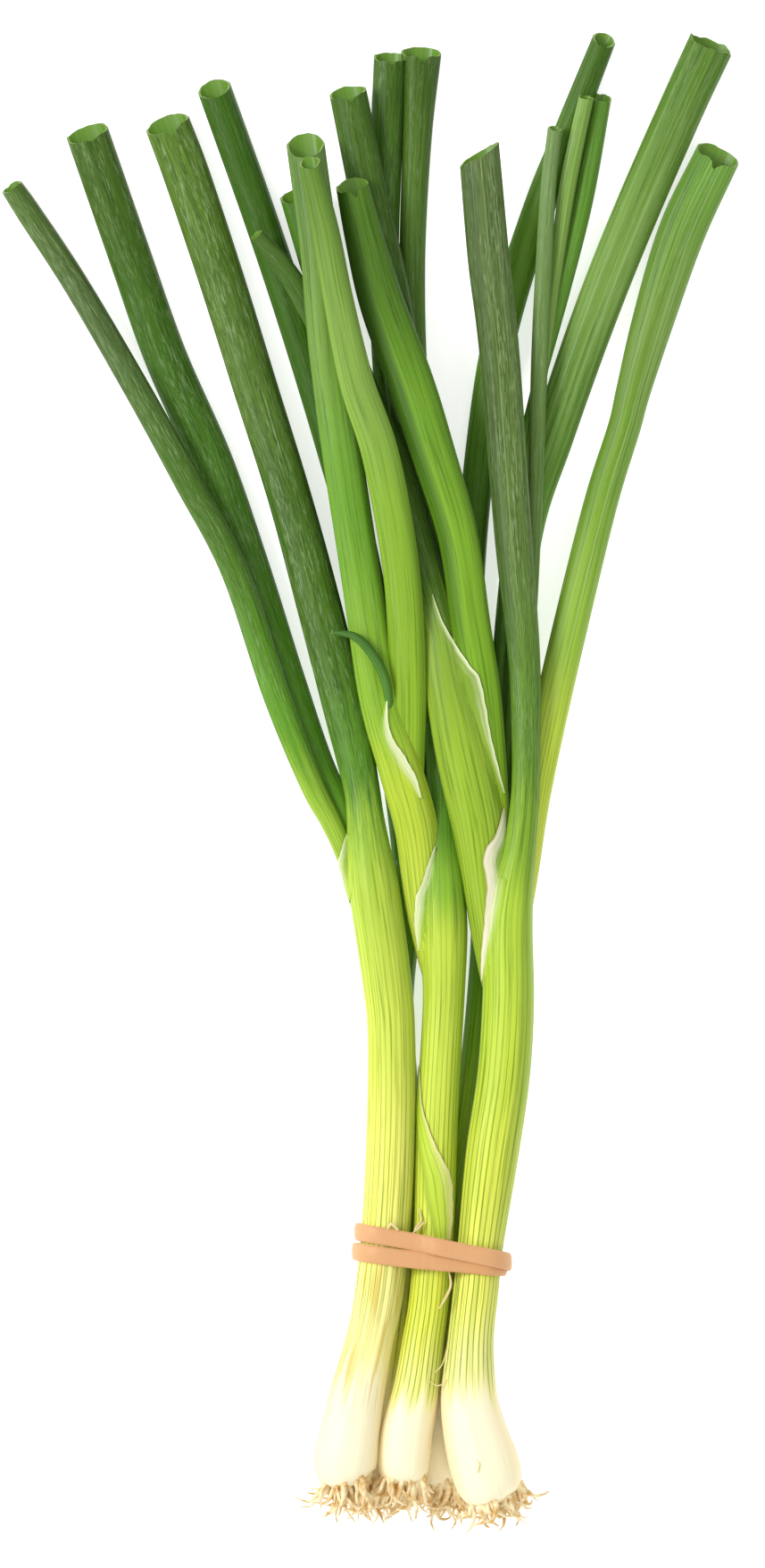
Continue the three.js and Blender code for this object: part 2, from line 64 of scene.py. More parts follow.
def add_light(name, place, size, watts):
    """A square soft box that faces the middle of the bunch."""
    bpy.ops.object.light_add(type="AREA", location=place)
    light = bpy.context.object
    light.name = name
    light.data.shape = "SQUARE"
    light.data.size = size
    light.data.energy = watts
    light.rotation_euler = (FOCUS - Vector(place)).to_track_quat("-Z", "Y").to_euler()


def add_floor():
    """A plain pale surface at the height of the lowest leaves."""
    bpy.ops.mesh.primitive_plane_add(size=4, location=(0, 0, 0))
    floor = bpy.context.object
    floor.name = "pale_floor"
    material, tree, shader = new_material("pale_paper")
    plug(tree, shader, [("Base Color", colour(250, 250, 250)), ("Roughness", 0.9),
                        ("Emission Color", colour(255, 255, 255)), ("Emission Strength", 0.6)])
    floor.data.materials.append(material)


def add_studio():
    add_light("soft_box_left", (-0.9, 0.35, 1.0), 0.5, 12)
    add_light("soft_box_foot", (0.15, -0.9, 1.0), 0.7, 3)
    world = bpy.data.worlds.new("pale_room")
    world.use_nodes = True
    background = world.node_tree.nodes["Background"]
    background.inputs["Color"].default_value = (1, 1, 1, 1)
    background.inputs["Strength"].default_value = 0.7
    bpy.context.scene.world = world
    bpy.context.scene.view_settings.view_transform = "Standard"


# ---------------- materials

SKIN_ROUGHNESS = 0.42
PATCH_DEPTH = 0.3  # how much the broad light and dark patches of a skin show
VEIN_WAVER = 0.16
VEIN_SHARPNESS = 0.58


def new_material(name):
    material = bpy.data.materials.new(name)
    material.use_nodes = True
    tree = material.node_tree
    return material, tree, tree.nodes["Principled BSDF"]


def plug(tree, node, values):
    """Fills a node's sockets: values are (socket, number, colour or another node's output) pairs."""
    for socket, value in values:
        if isinstance(value, bpy.types.NodeSocket):
            tree.links.new(value, node.inputs[socket])
        else:
            node.inputs[socket].default_value = value


def add_node(tree, kind, values=(), **settings):
    node = tree.nodes.new("ShaderNode" + kind)
    for key, value in settings.items():
        setattr(node, key, value)
    plug(tree, node, values)
    return node


def calc(tree, operation, a, b=0.0):
    return add_node(tree, "Math", [(0, a), (1, b)], operation=operation).outputs[0]


def times(tree, product, *factors):
    for factor in factors:
        product = calc(tree, "MULTIPLY", product, factor)
    return product


def scaled(tree, value, factor, plus):
    return calc(tree, "ADD", times(tree, value, factor), plus)


def from_one(tree, value):
    return calc(tree, "SUBTRACT", 1.0, value)


def ramp_between(tree, value, low, high):
    """0 on the far side of low and 1 beyond high, which may be the smaller of the two."""
    limits = [("Value", value), ("From Min", low), ("From Max", high)]
    return add_node(tree, "MapRange", limits, interpolation_type="SMOOTHSTEP").outputs["Result"]


def blend_colours(tree, amount, first, second, kind="MIX"):
    return add_node(tree, "Mix", [(0, amount), (6, first), (7, second)],
                    data_type="RGBA", blend_type=kind, clamp_factor=True).outputs[2]


def colour(red, green, blue):
    """A colour given in 0-255 screen values, as the linear one that a socket takes."""
    def linear(c):
        c /= 255
        return c / 12.92 if c <= 0.04045 else ((c + 0.055) / 1.055) ** 2.4
    return (linear(red), linear(green), linear(blue), 1)


def place_along_y(tree):
    """Where a point lies from the roots to the leaf ends, in millimetres."""
    spot = add_node(tree, "TexCoord").outputs["Object"]
    apart = add_node(tree, "SeparateXYZ", [(0, spot)])
    return calc(tree, "DIVIDE", apart.outputs["Y"], MM)


def skin_place(tree):
    """The piece's own skin: the cosine and sine of the angle round it, and the centimetres along it."""
    return add_node(tree, "Attribute", attribute_name="skin").outputs["Vector"]


def stretched_noise(tree, skin, round_scale, along_scale, detail=3.0, shift=0.0):
    placed = add_node(tree, "Mapping", [("Vector", skin), ("Location", (shift, shift, shift)),
                                        ("Scale", (round_scale, round_scale, along_scale))])
    noise = add_node(tree, "TexNoise", [
        ("Vector", placed.outputs[0]), ("Scale", 1.0), ("Detail", detail), ("Roughness", 0.6)])
    return noise.outputs["Fac"]


def grain(tree, scale, detail):
    """Noise that is fixed in the piece's own space."""
    spot = add_node(tree, "TexCoord").outputs["Object"]
    noise = add_node(tree, "TexNoise", [("Vector", spot), ("Scale", scale), ("Detail", detail)])
    return noise.outputs["Fac"]


def vein_lines(tree, skin, count, waver, sharpness):
    """Parallel veins that run the length of a skin: 1 on a vein and 0 between."""
    apart = add_node(tree, "SeparateXYZ", [(0, skin)])
    angle = calc(tree, "ARCTAN2", apart.outputs["Y"], apart.outputs["X"])
    drift = times(tree, calc(tree, "SUBTRACT", stretched_noise(tree, skin, 1.4, 0.25), 0.5), waver)
    turned = times(tree, calc(tree, "ADD", angle, drift), count / 2)
    wave = calc(tree, "ABSOLUTE", calc(tree, "SINE", turned))
    return from_one(tree, ramp_between(tree, wave, 0.0, sharpness))


def roughen(tree, shader, height, strength, distance):
    bump = add_node(tree, "Bump", [("Height", height), ("Strength", strength), ("Distance", distance)])
    plug(tree, shader, [("Normal", bump.outputs["Normal"])])


def colour_along(tree, value, stops):
    """A run of colours over a value; stops are (value, red, green, blue) in rising order."""
    low, high = stops[0][0], stops[-1][0]
    share = add_node(tree, "MapRange", [("Value", value), ("From Min", low), ("From Max", high)])
    ramp = add_node(tree, "ValToRGB", [("Fac", share.outputs["Result"])])
    run = ramp.color_ramp
    run.interpolation = "EASE"
    while len(run.elements) < len(stops):
        run.elements.new(0.5)
    for element, (place, *shade) in zip(run.elements, stops):
        element.position = (place - low) / (high - low)
        element.color = colour(*shade)
    return ramp.outputs["Color"]


def plant_skin(name, stops, veins, vein_reach, vein_shade, dashes=0.0, bloom=0.0, painted_shade_right=0.25,
               painted_shade_left=0.0, silver=0.0, uneven=16.0, seed=0.0, earth=0.0):
    """The skin of an onion: colours along its length, dark parallel veins and fine streaks.

    veins is how many run round the piece. vein_reach is (starts, full, fades, strength low down, strength
    high up). dashes, bloom, silver and earth say how strong the dark dashes, the wax flecks, the pale threads
    and the stain above the bulb are, the two flank settings how strong the painted shade on the right and on
    the left flank is, and uneven how many millimetres the colours wander up and down. Below the veins the
    bulb also gets a painted tan shade towards both flanks.
    """
    material, tree, shader = new_material(name)
    y = place_along_y(tree)
    skin = skin_place(tree)
    around = add_node(tree, "SeparateXYZ", [(0, skin)]).outputs["X"]

    def streaks(round_scale, along_scale, detail, shift):
        return stretched_noise(tree, skin, round_scale, along_scale, detail, seed + shift)

    def between(value, low, high):
        return ramp_between(tree, value, low, high)

    def coat(shade, *amounts, kind="MIX"):
        """Lays one shade over the skin so far, as strong as the product of the amounts."""
        return blend_colours(tree, times(tree, *amounts), base, colour(*shade), kind)

    wander = calc(tree, "SUBTRACT", streaks(3.0, 0.12, 2.0, 0), 0.5)
    y_uneven = calc(tree, "ADD", y, times(tree, wander, 2.0 * uneven))
    base = colour_along(tree, y_uneven, stops)

    starts, full, fades, low_strength, high_strength = vein_reach
    rising = between(y_uneven, starts, full)
    falling = between(y_uneven, full, fades)

    broad = streaks(2.2, 0.12, 3.0, 4)
    patchy = times(tree, rising, PATCH_DEPTH)
    base = coat((200, 214, 120), between(broad, 0.5, 0.7), patchy, kind="SOFT_LIGHT")
    base = coat((150, 180, 90), between(broad, 0.5, 0.3), patchy, kind="MULTIPLY")

    lines = vein_lines(tree, skin, veins, VEIN_WAVER, VEIN_SHARPNESS)
    broken = between(streaks(5.0, 0.4, 3.0, 5), 0.28, 0.5)
    strength = times(tree, rising, scaled(tree, falling, high_strength - low_strength, low_strength))
    marked = times(tree, lines, scaled(tree, broken, 0.45, 0.55))
    base = coat(vein_shade, marked, strength)

    fine = streaks(11.0, 0.35, 4.0, 9)
    base = coat((236, 240, 170), between(fine, 0.52, 0.66), 0.2, kind="SOFT_LIGHT")
    seen = scaled(tree, rising, 0.85, 0.15)
    base = coat((150, 176, 90), between(fine, 0.48, 0.34), 0.6, seen, kind="MULTIPLY")

    if dashes:
        dark = between(streaks(13.0, 1.9, 5.0, 3), 0.5, 0.58)
        base = coat((44, 70, 22), dark, between(y, -30.0, 10.0), dashes)
    if bloom:
        clouds = between(streaks(3.0, 0.5, 3.0, 6), 0.36, 0.62)
        flecks = between(streaks(15.0, 3.2, 5.0, 7), 0.48, 0.6)
        base = coat((150, 174, 124), clouds, flecks, between(y, -20.0, 30.0), 1.6 * bloom)
    if silver:
        threads = between(streaks(10.0, 0.1, 2.0, 11), 0.5, 0.68)
        base = coat((172, 198, 140), threads, between(y, 0.0, 40.0), silver)
    if earth:
        stain = between(streaks(6.0, 0.5, 4.0, 2), 0.48, 0.62)
        low_down = times(tree, between(y, -98.0, -116.0), between(y, -146.0, -132.0))
        base = coat((208, 170, 62), stain, low_down, earth)
    # Painted shade: below the veins the bulb is tinted tan towards both flanks, where it turns away from the
    # light.
    edge = between(calc(tree, "ABSOLUTE", around), 0.5, 1.0)
    base = coat((232, 208, 152), from_one(tree, rising), edge, 0.45)
    # Painted shade: the right flank of the skin is darkened.
    base = coat((128, 160, 70), between(around, 0.3, 1.0), rising, painted_shade_right, kind="MULTIPLY")
    # Painted shade: the left flank of the skin is darkened higher up the leaf.
    if painted_shade_left:
        left = between(around, -0.2, -0.6)
        base = coat((150, 170, 130), left, between(y, 10.0, 40.0), painted_shade_left, kind="MULTIPLY")

    plug(tree, shader, [("Base Color", base), ("Roughness", SKIN_ROUGHNESS), ("Specular IOR Level", 0.18)])
    ridges = times(tree, lines, scaled(tree, strength, 0.6, 0.08))
    roughen(tree, shader, calc(tree, "SUBTRACT", times(tree, fine, 0.6), ridges), 0.5, 0.16 * MM)
    return material


def bore_material(name, body, painted_glow):
    """The moist inside of a cut leaf, lit through its thin wall, or the pale cut rim."""
    material, tree, shader = new_material(name)
    lines = vein_lines(tree, skin_place(tree), 22, 0.2, 0.6)
    base = blend_colours(tree, times(tree, lines, 0.25), body, colour(60, 110, 18))
    # Painted light: the emission makes the inside glow, standing in for light that comes through the thin
    # leaf wall.
    plug(tree, shader, [("Base Color", base), ("Emission Color", base), ("Emission Strength", painted_glow),
                        ("Roughness", 0.4)])
    return material


def root_material():
    material, tree, shader = new_material("dry_root_tan")
    base = blend_colours(tree, ramp_between(tree, grain(tree, 420.0, 3.0), 0.35, 0.7), colour(250, 234, 190),
                         colour(206, 164, 90))
    plug(tree, shader, [("Base Color", base), ("Roughness", 0.75), ("Subsurface Weight", 0.1),
                        ("Subsurface Scale", 0.5 * MM)])
    return material


def rubber_material():
    material, tree, shader = new_material("tan_rubber")
    noise = grain(tree, 160.0, 4.0)
    turn = add_node(tree, "Attribute", attribute_name="turn").outputs["Fac"]
    # Painted light and shade: one turn of the band is a lighter tan and the other a darker, more golden one,
    # blended by the turn attribute.
    base = blend_colours(tree, turn, colour(204, 146, 76), colour(220, 166, 116))
    base = blend_colours(tree, times(tree, noise, 0.4), base, colour(192, 140, 84))
    plug(tree, shader, [("Base Color", base), ("Roughness", 0.5), ("Subsurface Weight", 0.15),
                        ("Subsurface Scale", 0.8 * MM)])
    roughen(tree, shader, noise, 0.2, 0.1 * MM)
    return material


# ---------------- working a mesh, and leading it along a route

def go_to(mode):
    bpy.ops.object.mode_set(mode=mode)


def deselect_all():
    if bpy.context.object and bpy.context.object.mode != "OBJECT":
        go_to("OBJECT")
    bpy.ops.object.select_all(action="DESELECT")


def only(piece):
    deselect_all()
    piece.select_set(True)
    bpy.context.view_layer.objects.active = piece


def apply_modifier(piece, kind, **settings):
    only(piece)
    modifier = piece.modifiers.new(kind.lower(), kind)
    for key, value in settings.items():
        setattr(modifier, key, value)
    bpy.ops.object.modifier_apply(modifier=modifier.name)


def smooth_between(knots, position):
    """Catmull-Rom through evenly numbered knots, each a tuple of numbers."""
    last = len(knots) - 1
    index = min(int(position), last - 1)
    t = position - index
    before = knots[index - 1] if index > 0 else tuple(2 * a - b for a, b in zip(knots[0], knots[1]))
    start, end = knots[index], knots[index + 1]
    after = knots[index + 2] if index + 2 <= last else tuple(2 * b - a for a, b in zip(knots[-2], knots[-1]))
    return tuple(
        0.5 * (2 * b + (c - a) * t + (2 * a - 5 * b + 4 * c - d) * t * t + (3 * b - a - 3 * c + d) * t ** 3)
        for a, b, c, d in zip(before, start, end, after))


class Route:
    """A piece's centre line with its widths and thicknesses, in millimetres.

    Its knots are (x, y, z, width, thickness), or (x, y, z, width) where the piece is round.
    """
    STEPS = 16

    def __init__(self, knots):
        knots = [knot if len(knot) == 5 else (*knot, knot[3]) for knot in knots]
        count = (len(knots) - 1) * self.STEPS
        self.places = [smooth_between(knots, i / self.STEPS) for i in range(count + 1)]
        self.reach = [0.0]
        for a, b in zip(self.places, self.places[1:]):
            self.reach.append(self.reach[-1] + math.dist(a[:3], b[:3]))
        self.length = self.reach[-1]

    def at(self, distance):
        """Place, width and thickness at a distance along the route."""
        distance = min(max(distance, 0.0), self.length)
        low = min(bisect.bisect_right(self.reach, distance), len(self.reach) - 1) - 1
        share = (distance - self.reach[low]) / (self.reach[low + 1] - self.reach[low])
        return tuple(a + (b - a) * share for a, b in zip(self.places[low], self.places[low + 1]))

    def distance_at_y(self, y):
        """How far along the route it first passes y."""
        for place, reach in zip(self.places, self.reach):
            if place[1] >= y:
                return reach
        return self.length


def new_curve():
    deselect_all()
    bpy.ops.curve.primitive_bezier_curve_add()
    curve = bpy.context.object
    curve.data.splines.clear()
    curve.data.dimensions = "3D"
    return curve


def add_line(curve, steps):
    line = curve.data.splines.new("POLY")
    line.points.add(steps)
    return line.points


def guide_curve(route):
    """The curve that a straight blank is bent along."""
    guide = new_curve()
    guide.data.twist_mode = "Z_UP"
    for point, place in zip(add_line(guide, len(route.places) - 1), route.places):
        point.co = (place[0] * MM, place[1] * MM, place[2] * MM, 1)
    return guide


SIDES = 56  # points round a leaf or a shaft
MOST_RINGS = 100  # as many as one subdivide can cut
SHARP_ANGLE = math.radians(48)  # a sharper edge than this is not shaded smooth


def straight_blank(name, start, end, rings):
    """An open cylinder of radius 1 along X, cut into rings by subdividing its long edges."""
    deselect_all()
    bpy.ops.mesh.primitive_cylinder_add(
        vertices=SIDES, radius=1, depth=(end - start) * MM, end_fill_type="NOTHING",
        location=((start + end) / 2 * MM, 0, 0), rotation=(0, math.pi / 2, 0))
    blank = bpy.context.object
    blank.name = name
    bpy.ops.object.transform_apply(location=True, rotation=True, scale=True)
    go_to("EDIT")
    bpy.ops.mesh.select_mode(type="EDGE")
    bpy.ops.mesh.select_all(action="DESELECT")
    go_to("OBJECT")
    corners = blank.data.vertices
    for edge in blank.data.edges:
        a, b = (corners[i].co for i in edge.vertices)
        edge.select = abs(a.x - b.x) > 0.5 * (end - start) * MM
    go_to("EDIT")
    bpy.ops.mesh.subdivide(number_cuts=min(rings, MOST_RINGS) - 1)
    bpy.ops.mesh.select_mode(type="VERT")
    go_to("OBJECT")
    return blank


def give_skin(piece):
    """Keeps each point's angle round the piece and its centimetres along it, for the veins."""
    skin = piece.data.attributes.new("skin", "FLOAT_VECTOR", "POINT")
    for vertex in piece.data.vertices:
        angle = math.atan2(vertex.co.z, -vertex.co.y)
        skin.data[vertex.index].vector = (math.cos(angle), math.sin(angle), vertex.co.x / MM / CM)


def bend_along(piece, route):
    guide = guide_curve(route)
    apply_modifier(piece, "CURVE", object=guide, deform_axis="POS_X")
    bpy.data.objects.remove(guide)


def give_wall(piece, wall, materials):
    """A wall inwards, with its inner face and its rim in the second and third materials."""
    for material in materials:
        piece.data.materials.append(material)
    apply_modifier(piece, "SOLIDIFY", thickness=wall * MM, offset=-1, use_even_offset=False,
                   material_offset=1, material_offset_rim=2)


def finish_piece(piece, materials, slot, *nodes):
    for material in materials:
        piece.data.materials.append(material)
    only(piece)
    bpy.ops.object.shade_smooth_by_angle(angle=SHARP_ANGLE)
    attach(piece, "root")
    if nodes:
        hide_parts(*nodes)


def turn_faces_out(piece):
    only(piece)
    go_to("EDIT")
    bpy.ops.mesh.select_all(action="SELECT")
    bpy.ops.mesh.normals_make_consistent(inside=False)
    go_to("OBJECT")


# ---------------- leaves

RIBS = 0.01  # how far the soft ribs stand out, as a share of the radius
RIB_COUNT = 11
LEAF_RING_GAP = 2.0
FEWEST_LEAF_RINGS = 24
SHAFT_RING_GAP = 1.6
CUT_REACH = 7.0  # how far down a leaf its rings follow the cut
TEAR_WAVES = (3, 5, 8, 13)  # waves round a torn edge, each lower than the one before
LOBE_MIDDLE, LOBE_WIDTH = 0.08, 0.2
DENT_DEPTH, DENT_PLACE, DENT_WIDTH = 0.35, 0.5, 0.3  # the dents on both sides of a lobe


def shape_section(piece, route, ribs, rib_count):
    """Gives each ring the route's width and thickness, with soft ribs."""
    for vertex in piece.data.vertices:
        _, _, _, width, thickness = route.at(vertex.co.x / MM)
        across = -vertex.co.y
        upward = vertex.co.z
        ribbed = 1 + ribs * math.cos(rib_count * math.atan2(upward, across))
        vertex.co.y = -across * ribbed * width / 2 * MM
        vertex.co.z = upward * ribbed * thickness / 2 * MM


def cut_end(piece, end, slant, skew, notch, ragged, seed):
    """Cuts the far end on a slant, with a lobe and a torn edge; the rings before it follow a little."""
    draw = random.Random(seed)
    phases = [draw.uniform(0, math.tau) for _ in TEAR_WAVES]
    for vertex in piece.data.vertices:
        back = end - vertex.co.x / MM
        if back > CUT_REACH:
            continue
        follow = 1 - back / CUT_REACH
        angle = math.atan2(vertex.co.z, -vertex.co.y)
        across, upward = math.cos(angle), math.sin(angle)
        tear = sum(math.sin(waves * angle + phase) / waves for waves, phase in zip(TEAR_WAVES, phases))
        lobe = 0.0
        if upward > 0:
            off_middle = abs(across - LOBE_MIDDLE)
            dent = DENT_DEPTH * math.exp(-((off_middle - DENT_PLACE) / DENT_WIDTH) ** 2)
            lobe = notch * (max(0.0, 1 - off_middle / LOBE_WIDTH) - dent)
        shift = 0.5 * (skew * across - slant * upward) + ragged * tear - lobe
        vertex.co.x += shift * follow * MM


def make_leaf(name, route, materials, slot, node, seed, start=0.0, wall=0.55, slant=3.0, skew=0.0, notch=0.0,
              ragged=0.35, ribs=RIBS, rib_count=RIB_COUNT):
    """A hollow leaf. materials are those of its skin, its bore and its cut rim."""
    rings = max(FEWEST_LEAF_RINGS, int((route.length - start) / LEAF_RING_GAP))
    leaf = straight_blank(name, start, route.length, rings)
    give_skin(leaf)
    cut_end(leaf, route.length, slant, skew, notch, ragged, seed)
    shape_section(leaf, route, ribs, rib_count)
    bend_along(leaf, route)
    give_wall(leaf, wall, materials)
    turn_faces_out(leaf)
    finish_piece(leaf, [], slot, node)
    return leaf


def make_shaft(name, route, end, material, node):
    """A closed shaft: bulb, neck and collar in one, rounded off over the root plate."""
    shaft = straight_blank(name, 0.0, end, int(end / SHAFT_RING_GAP))
    give_skin(shaft)
    shape_section(shaft, route, RIBS, RIB_COUNT)
    bend_along(shaft, route)
    only(shaft)
    go_to("EDIT")
    bpy.ops.mesh.select_all(action="DESELECT")
    bpy.ops.mesh.select_non_manifold()
    bpy.ops.mesh.fill_holes(sides=0)
    go_to("OBJECT")
    turn_faces_out(shaft)
    finish_piece(shaft, [material], "shaft", node)
    return shaft


# ---------------- roots

THICKEST_ROOT = 1.45
ROOT_STEPS = 16
TURN_TO_NEXT_ROOT = 2.4  # spreads the roots evenly over the disc
ROOT_SAG = 0.03
ROOT_TAPER = 0.75
FLOOR_GAP = 0.05


def start_strands(radius):
    """An empty curve whose lines get a round thickness."""
    strands = new_curve()
    strands.data.bevel_depth = radius * MM
    strands.data.bevel_resolution = 2
    strands.data.use_fill_caps = True
    return strands


def finish_strands(strands, name, material, slot, *nodes):
    only(strands)
    bpy.ops.object.convert(target="MESH")
    strands = bpy.context.object
    strands.name = name
    turn_faces_out(strands)
    finish_piece(strands, [material], slot, *nodes)


def root_hairs(node, material, base, away, disc_width, reach, spread, count, seed):
    """A tuft of curling roots that start all over a small disc, in one piece."""
    draw = random.Random(seed)
    away = Vector(away).normalized()
    side = Vector((0, 0, 1)).cross(away).normalized()
    top = away.cross(side)
    base = Vector(base)
    tuft = start_strands(THICKEST_ROOT / 2)
    for index in range(count):
        angle = index * TURN_TO_NEXT_ROOT + draw.uniform(-0.3, 0.3)
        share = math.sqrt((index + 0.5) / count)
        outward = side * math.cos(angle) + top * math.sin(angle)
        spot = base + outward * (disc_width * 0.5 * share) - away * (0.4 + 1.3 * share * share)
        length = reach * draw.uniform(0.9, 1.7)
        heading = away * 1.1 + outward * (spread / reach) * share * draw.uniform(-0.2, 0.8)
        turn_axis = Vector((draw.uniform(-0.5, 0.5), draw.uniform(-0.5, 0.5), draw.choice((-1, 1))))
        turn_axis.normalize()
        curl = draw.uniform(0.0, 0.32)
        wave = draw.uniform(0.1, 0.34)
        phase = draw.uniform(0, math.tau)
        thick = draw.uniform(0.55, 1.0)
        heading.normalize()
        for number, point in enumerate(add_line(tuft, ROOT_STEPS)):
            point.co = (spot.x * MM, spot.y * MM, spot.z * MM, 1)
            point.radius = thick * (1 - ROOT_TAPER * (number / ROOT_STEPS) ** 2)
            turn = curl * number / ROOT_STEPS + wave * math.sin(number * 0.9 + phase)
            heading = Matrix.Rotation(turn, 3, turn_axis) @ heading
            heading.z -= ROOT_SAG
            heading.normalize()
            spot = spot + heading * (length / ROOT_STEPS)
            spot.z = max(spot.z, thick * THICKEST_ROOT / 2 + FLOOR_GAP)
    finish_strands(tuft, node.replace("roots", "root_tuft"), material, "roots", node)


# ---------------- rubber band

BAND_Y = -106
BAND_MIDDLE = (13.2, 11.6)
BAND_WIDTH = 4.0
BAND_THICK = 1.0
BAND_SLOPE = -0.15
BAND_SPREAD = 2.25
BAND_CROSSING = -0.25
BAND_LOOSE = 1.3  # how far its left end stands off the shafts
BAND_LOOSE_SPAN = 0.3  # and over what angle
BAND_RING = 2.0
BAND_GAP = 0.2  # between the band and the shafts
BAND_TURN_GAP = 0.1  # between its two turns where one lies over the other
BAND_OVER_FROM, BAND_OVER_EASE = 1, 0.5
BAND_CORNERS = 0.35  # nearer 0 is a rounder edge
BOTH_TURNS = 2 * math.tau


def band_radius(shafts, angle):
    """A string pulled tight round the shafts, seen from the middle of the bunch."""
    radius = math.inf
    middle_x, middle_z = BAND_MIDDLE
    for lean in range(-85, 86, 2):
        facing = angle + math.radians(lean)
        reach = max((x - middle_x) * math.cos(facing) + (z - middle_z) * math.sin(facing) + thick / 2
                    for x, _, z, thick, _ in shafts)
        radius = min(radius, reach / math.cos(facing - angle))
    return radius


def make_band(routes, material):
    """One loop wound twice, a torus whose ring is led round the shafts two times."""
    shafts = [route.at(route.distance_at_y(BAND_Y)) for route in routes]
    deselect_all()
    bpy.ops.mesh.primitive_torus_add(major_segments=220, minor_segments=16, major_radius=BAND_RING,
                                     minor_radius=1.0)
    band = bpy.context.object
    band.name = "tied_rubber_band"

    def line_at(turn):
        angle = turn + math.pi
        phase = (turn - BAND_CROSSING) % BOTH_TURNS
        over = math.pi - abs((phase + math.tau) % BOTH_TURNS - math.pi)
        over = min(max((over - BAND_OVER_FROM) / BAND_OVER_EASE, 0.0), 1.0)
        over = over * over * (3 - 2 * over)
        loose = BAND_LOOSE * math.exp(-((turn % BOTH_TURNS - math.tau) / BAND_LOOSE_SPAN) ** 2)
        radius = band_radius(shafts, angle) + BAND_GAP + BAND_THICK / 2
        radius = radius + over * (BAND_THICK + BAND_TURN_GAP) + loose
        x = BAND_MIDDLE[0] + radius * math.cos(angle)
        z = BAND_MIDDLE[1] + radius * math.sin(angle)
        y = BAND_Y + BAND_SLOPE * (x - BAND_MIDDLE[0]) + BAND_SPREAD * math.cos(phase / 2)
        return Vector((x, y, z))

    # The turn attribute is painted light and shade: it runs from 0 to 1 along the first turn and stays 1 on
    # the second, which comes out lighter.
    turn_light_and_shade = band.data.attributes.new("turn", "FLOAT", "POINT")
    for vertex in band.data.vertices:
        x, y, z = vertex.co
        turn = (math.atan2(y, x) % math.tau) * 2
        turn_light_and_shade.data[vertex.index].value = 0.5 - 0.5 * math.cos(min(turn / 2, math.pi))
        along = line_at(turn + 0.02) - line_at(turn - 0.02)
        along.y = 0
        along.normalize()
        outward = Vector((along.z, 0, -along.x))
        out = math.hypot(x, y) - BAND_RING
        reach = 1 / max(max(abs(out), abs(z)) ** BAND_CORNERS, 0.01) ** 0.5
        vertex.co = (line_at(turn) + outward * (out * reach * BAND_THICK / 2)
                     - Vector((0, z * BAND_WIDTH / 2, 0))) * MM
        vertex.co.z = max(vertex.co.z, 0.0)
    turn_faces_out(band)
    finish_piece(band, [material], "rubber_band", "rubber_band")


# ---------------- thin papery skins

def add_dry_rim(tree, shader, base, papery, rim, dries):
    """Dries a strip out towards its free edge. It begins at dries, a share of the strip's width."""
    place = add_node(tree, "UVMap").outputs["UV"]
    across = add_node(tree, "SeparateXYZ", [(0, place)]).outputs["X"]
    streaked = add_node(tree, "Mapping", [("Vector", place), ("Scale", (9.0, 2.2, 1.0))])
    noise = add_node(tree, "TexNoise", [
        ("Vector", streaked.outputs[0]), ("Scale", 1.0), ("Detail", 4.0)])
    wander = times(tree, calc(tree, "SUBTRACT", noise.outputs["Fac"], 0.5), 0.7)
    uneven = calc(tree, "ADD", across, wander)
    base = blend_colours(tree, ramp_between(tree, uneven, dries, dries + 0.6), base, papery)
    edge = times(tree, ramp_between(tree, across, 0.92, 1.0), 0.6)
    plug(tree, shader, [("Base Color", blend_colours(tree, edge, base, rim))])


def grown_lip_material(host, name, papery, rim, dries):
    """The skin that a lip grows out of, drying towards the lip's free edge."""
    material = host.copy()
    material.name = name
    tree = material.node_tree
    shader = tree.nodes["Principled BSDF"]
    add_dry_rim(tree, shader, shader.inputs["Base Color"].links[0].from_socket, papery, rim, dries)
    return material


def old_lip_material():
    """An old split sheath, with veins that run along its torn edge."""
    material, tree, shader = new_material("old_sheath_lip")
    place = add_node(tree, "UVMap").outputs["UV"]
    across = add_node(tree, "SeparateXYZ", [(0, place)]).outputs["X"]
    waves = calc(tree, "ABSOLUTE", calc(tree, "SINE", times(tree, across, 13.0)))
    outer = ramp_between(tree, across, 0.25, 0.5)
    lines = times(tree, from_one(tree, ramp_between(tree, waves, 0.0, 0.5)), outer)
    base = blend_colours(tree, times(tree, lines, 0.55), colour(190, 214, 66), colour(*VEIN_GREEN))
    add_dry_rim(tree, shader, base, colour(228, 220, 158), colour(236, 222, 172), 0.6)
    plug(tree, shader, [("Roughness", 0.5), ("Specular IOR Level", 0.2),
                        ("Alpha", ramp_between(tree, across, 0.04, 0.4))])
    return material


LIP_ROWS, LIP_LANES = 60, 18
LIP_THICK = 0.12
LIP_GAP = 0.2  # between a lip and what it is laid on
LIP_LIFT = 0.3  # how far its free edge stands up
LIP_SINK = 0.5  # how far its grown edge lies in its host
LIP_START_HEIGHT = 40.0  # where it is laid down from
MISSED_HEIGHT = 30  # a point that is still higher has nothing under it
FRAY = 0.03
FRAY_WAVES = (9, 23, 71)
FLANK, FAR_FLANK, FLANK_ROOM = 0.8, 0.99, 0.19  # as shares of the radius


def heading_between(a, b):
    """The direction from a to b, seen from above."""
    return Vector((b[0] - a[0], b[1] - a[1])).normalized()


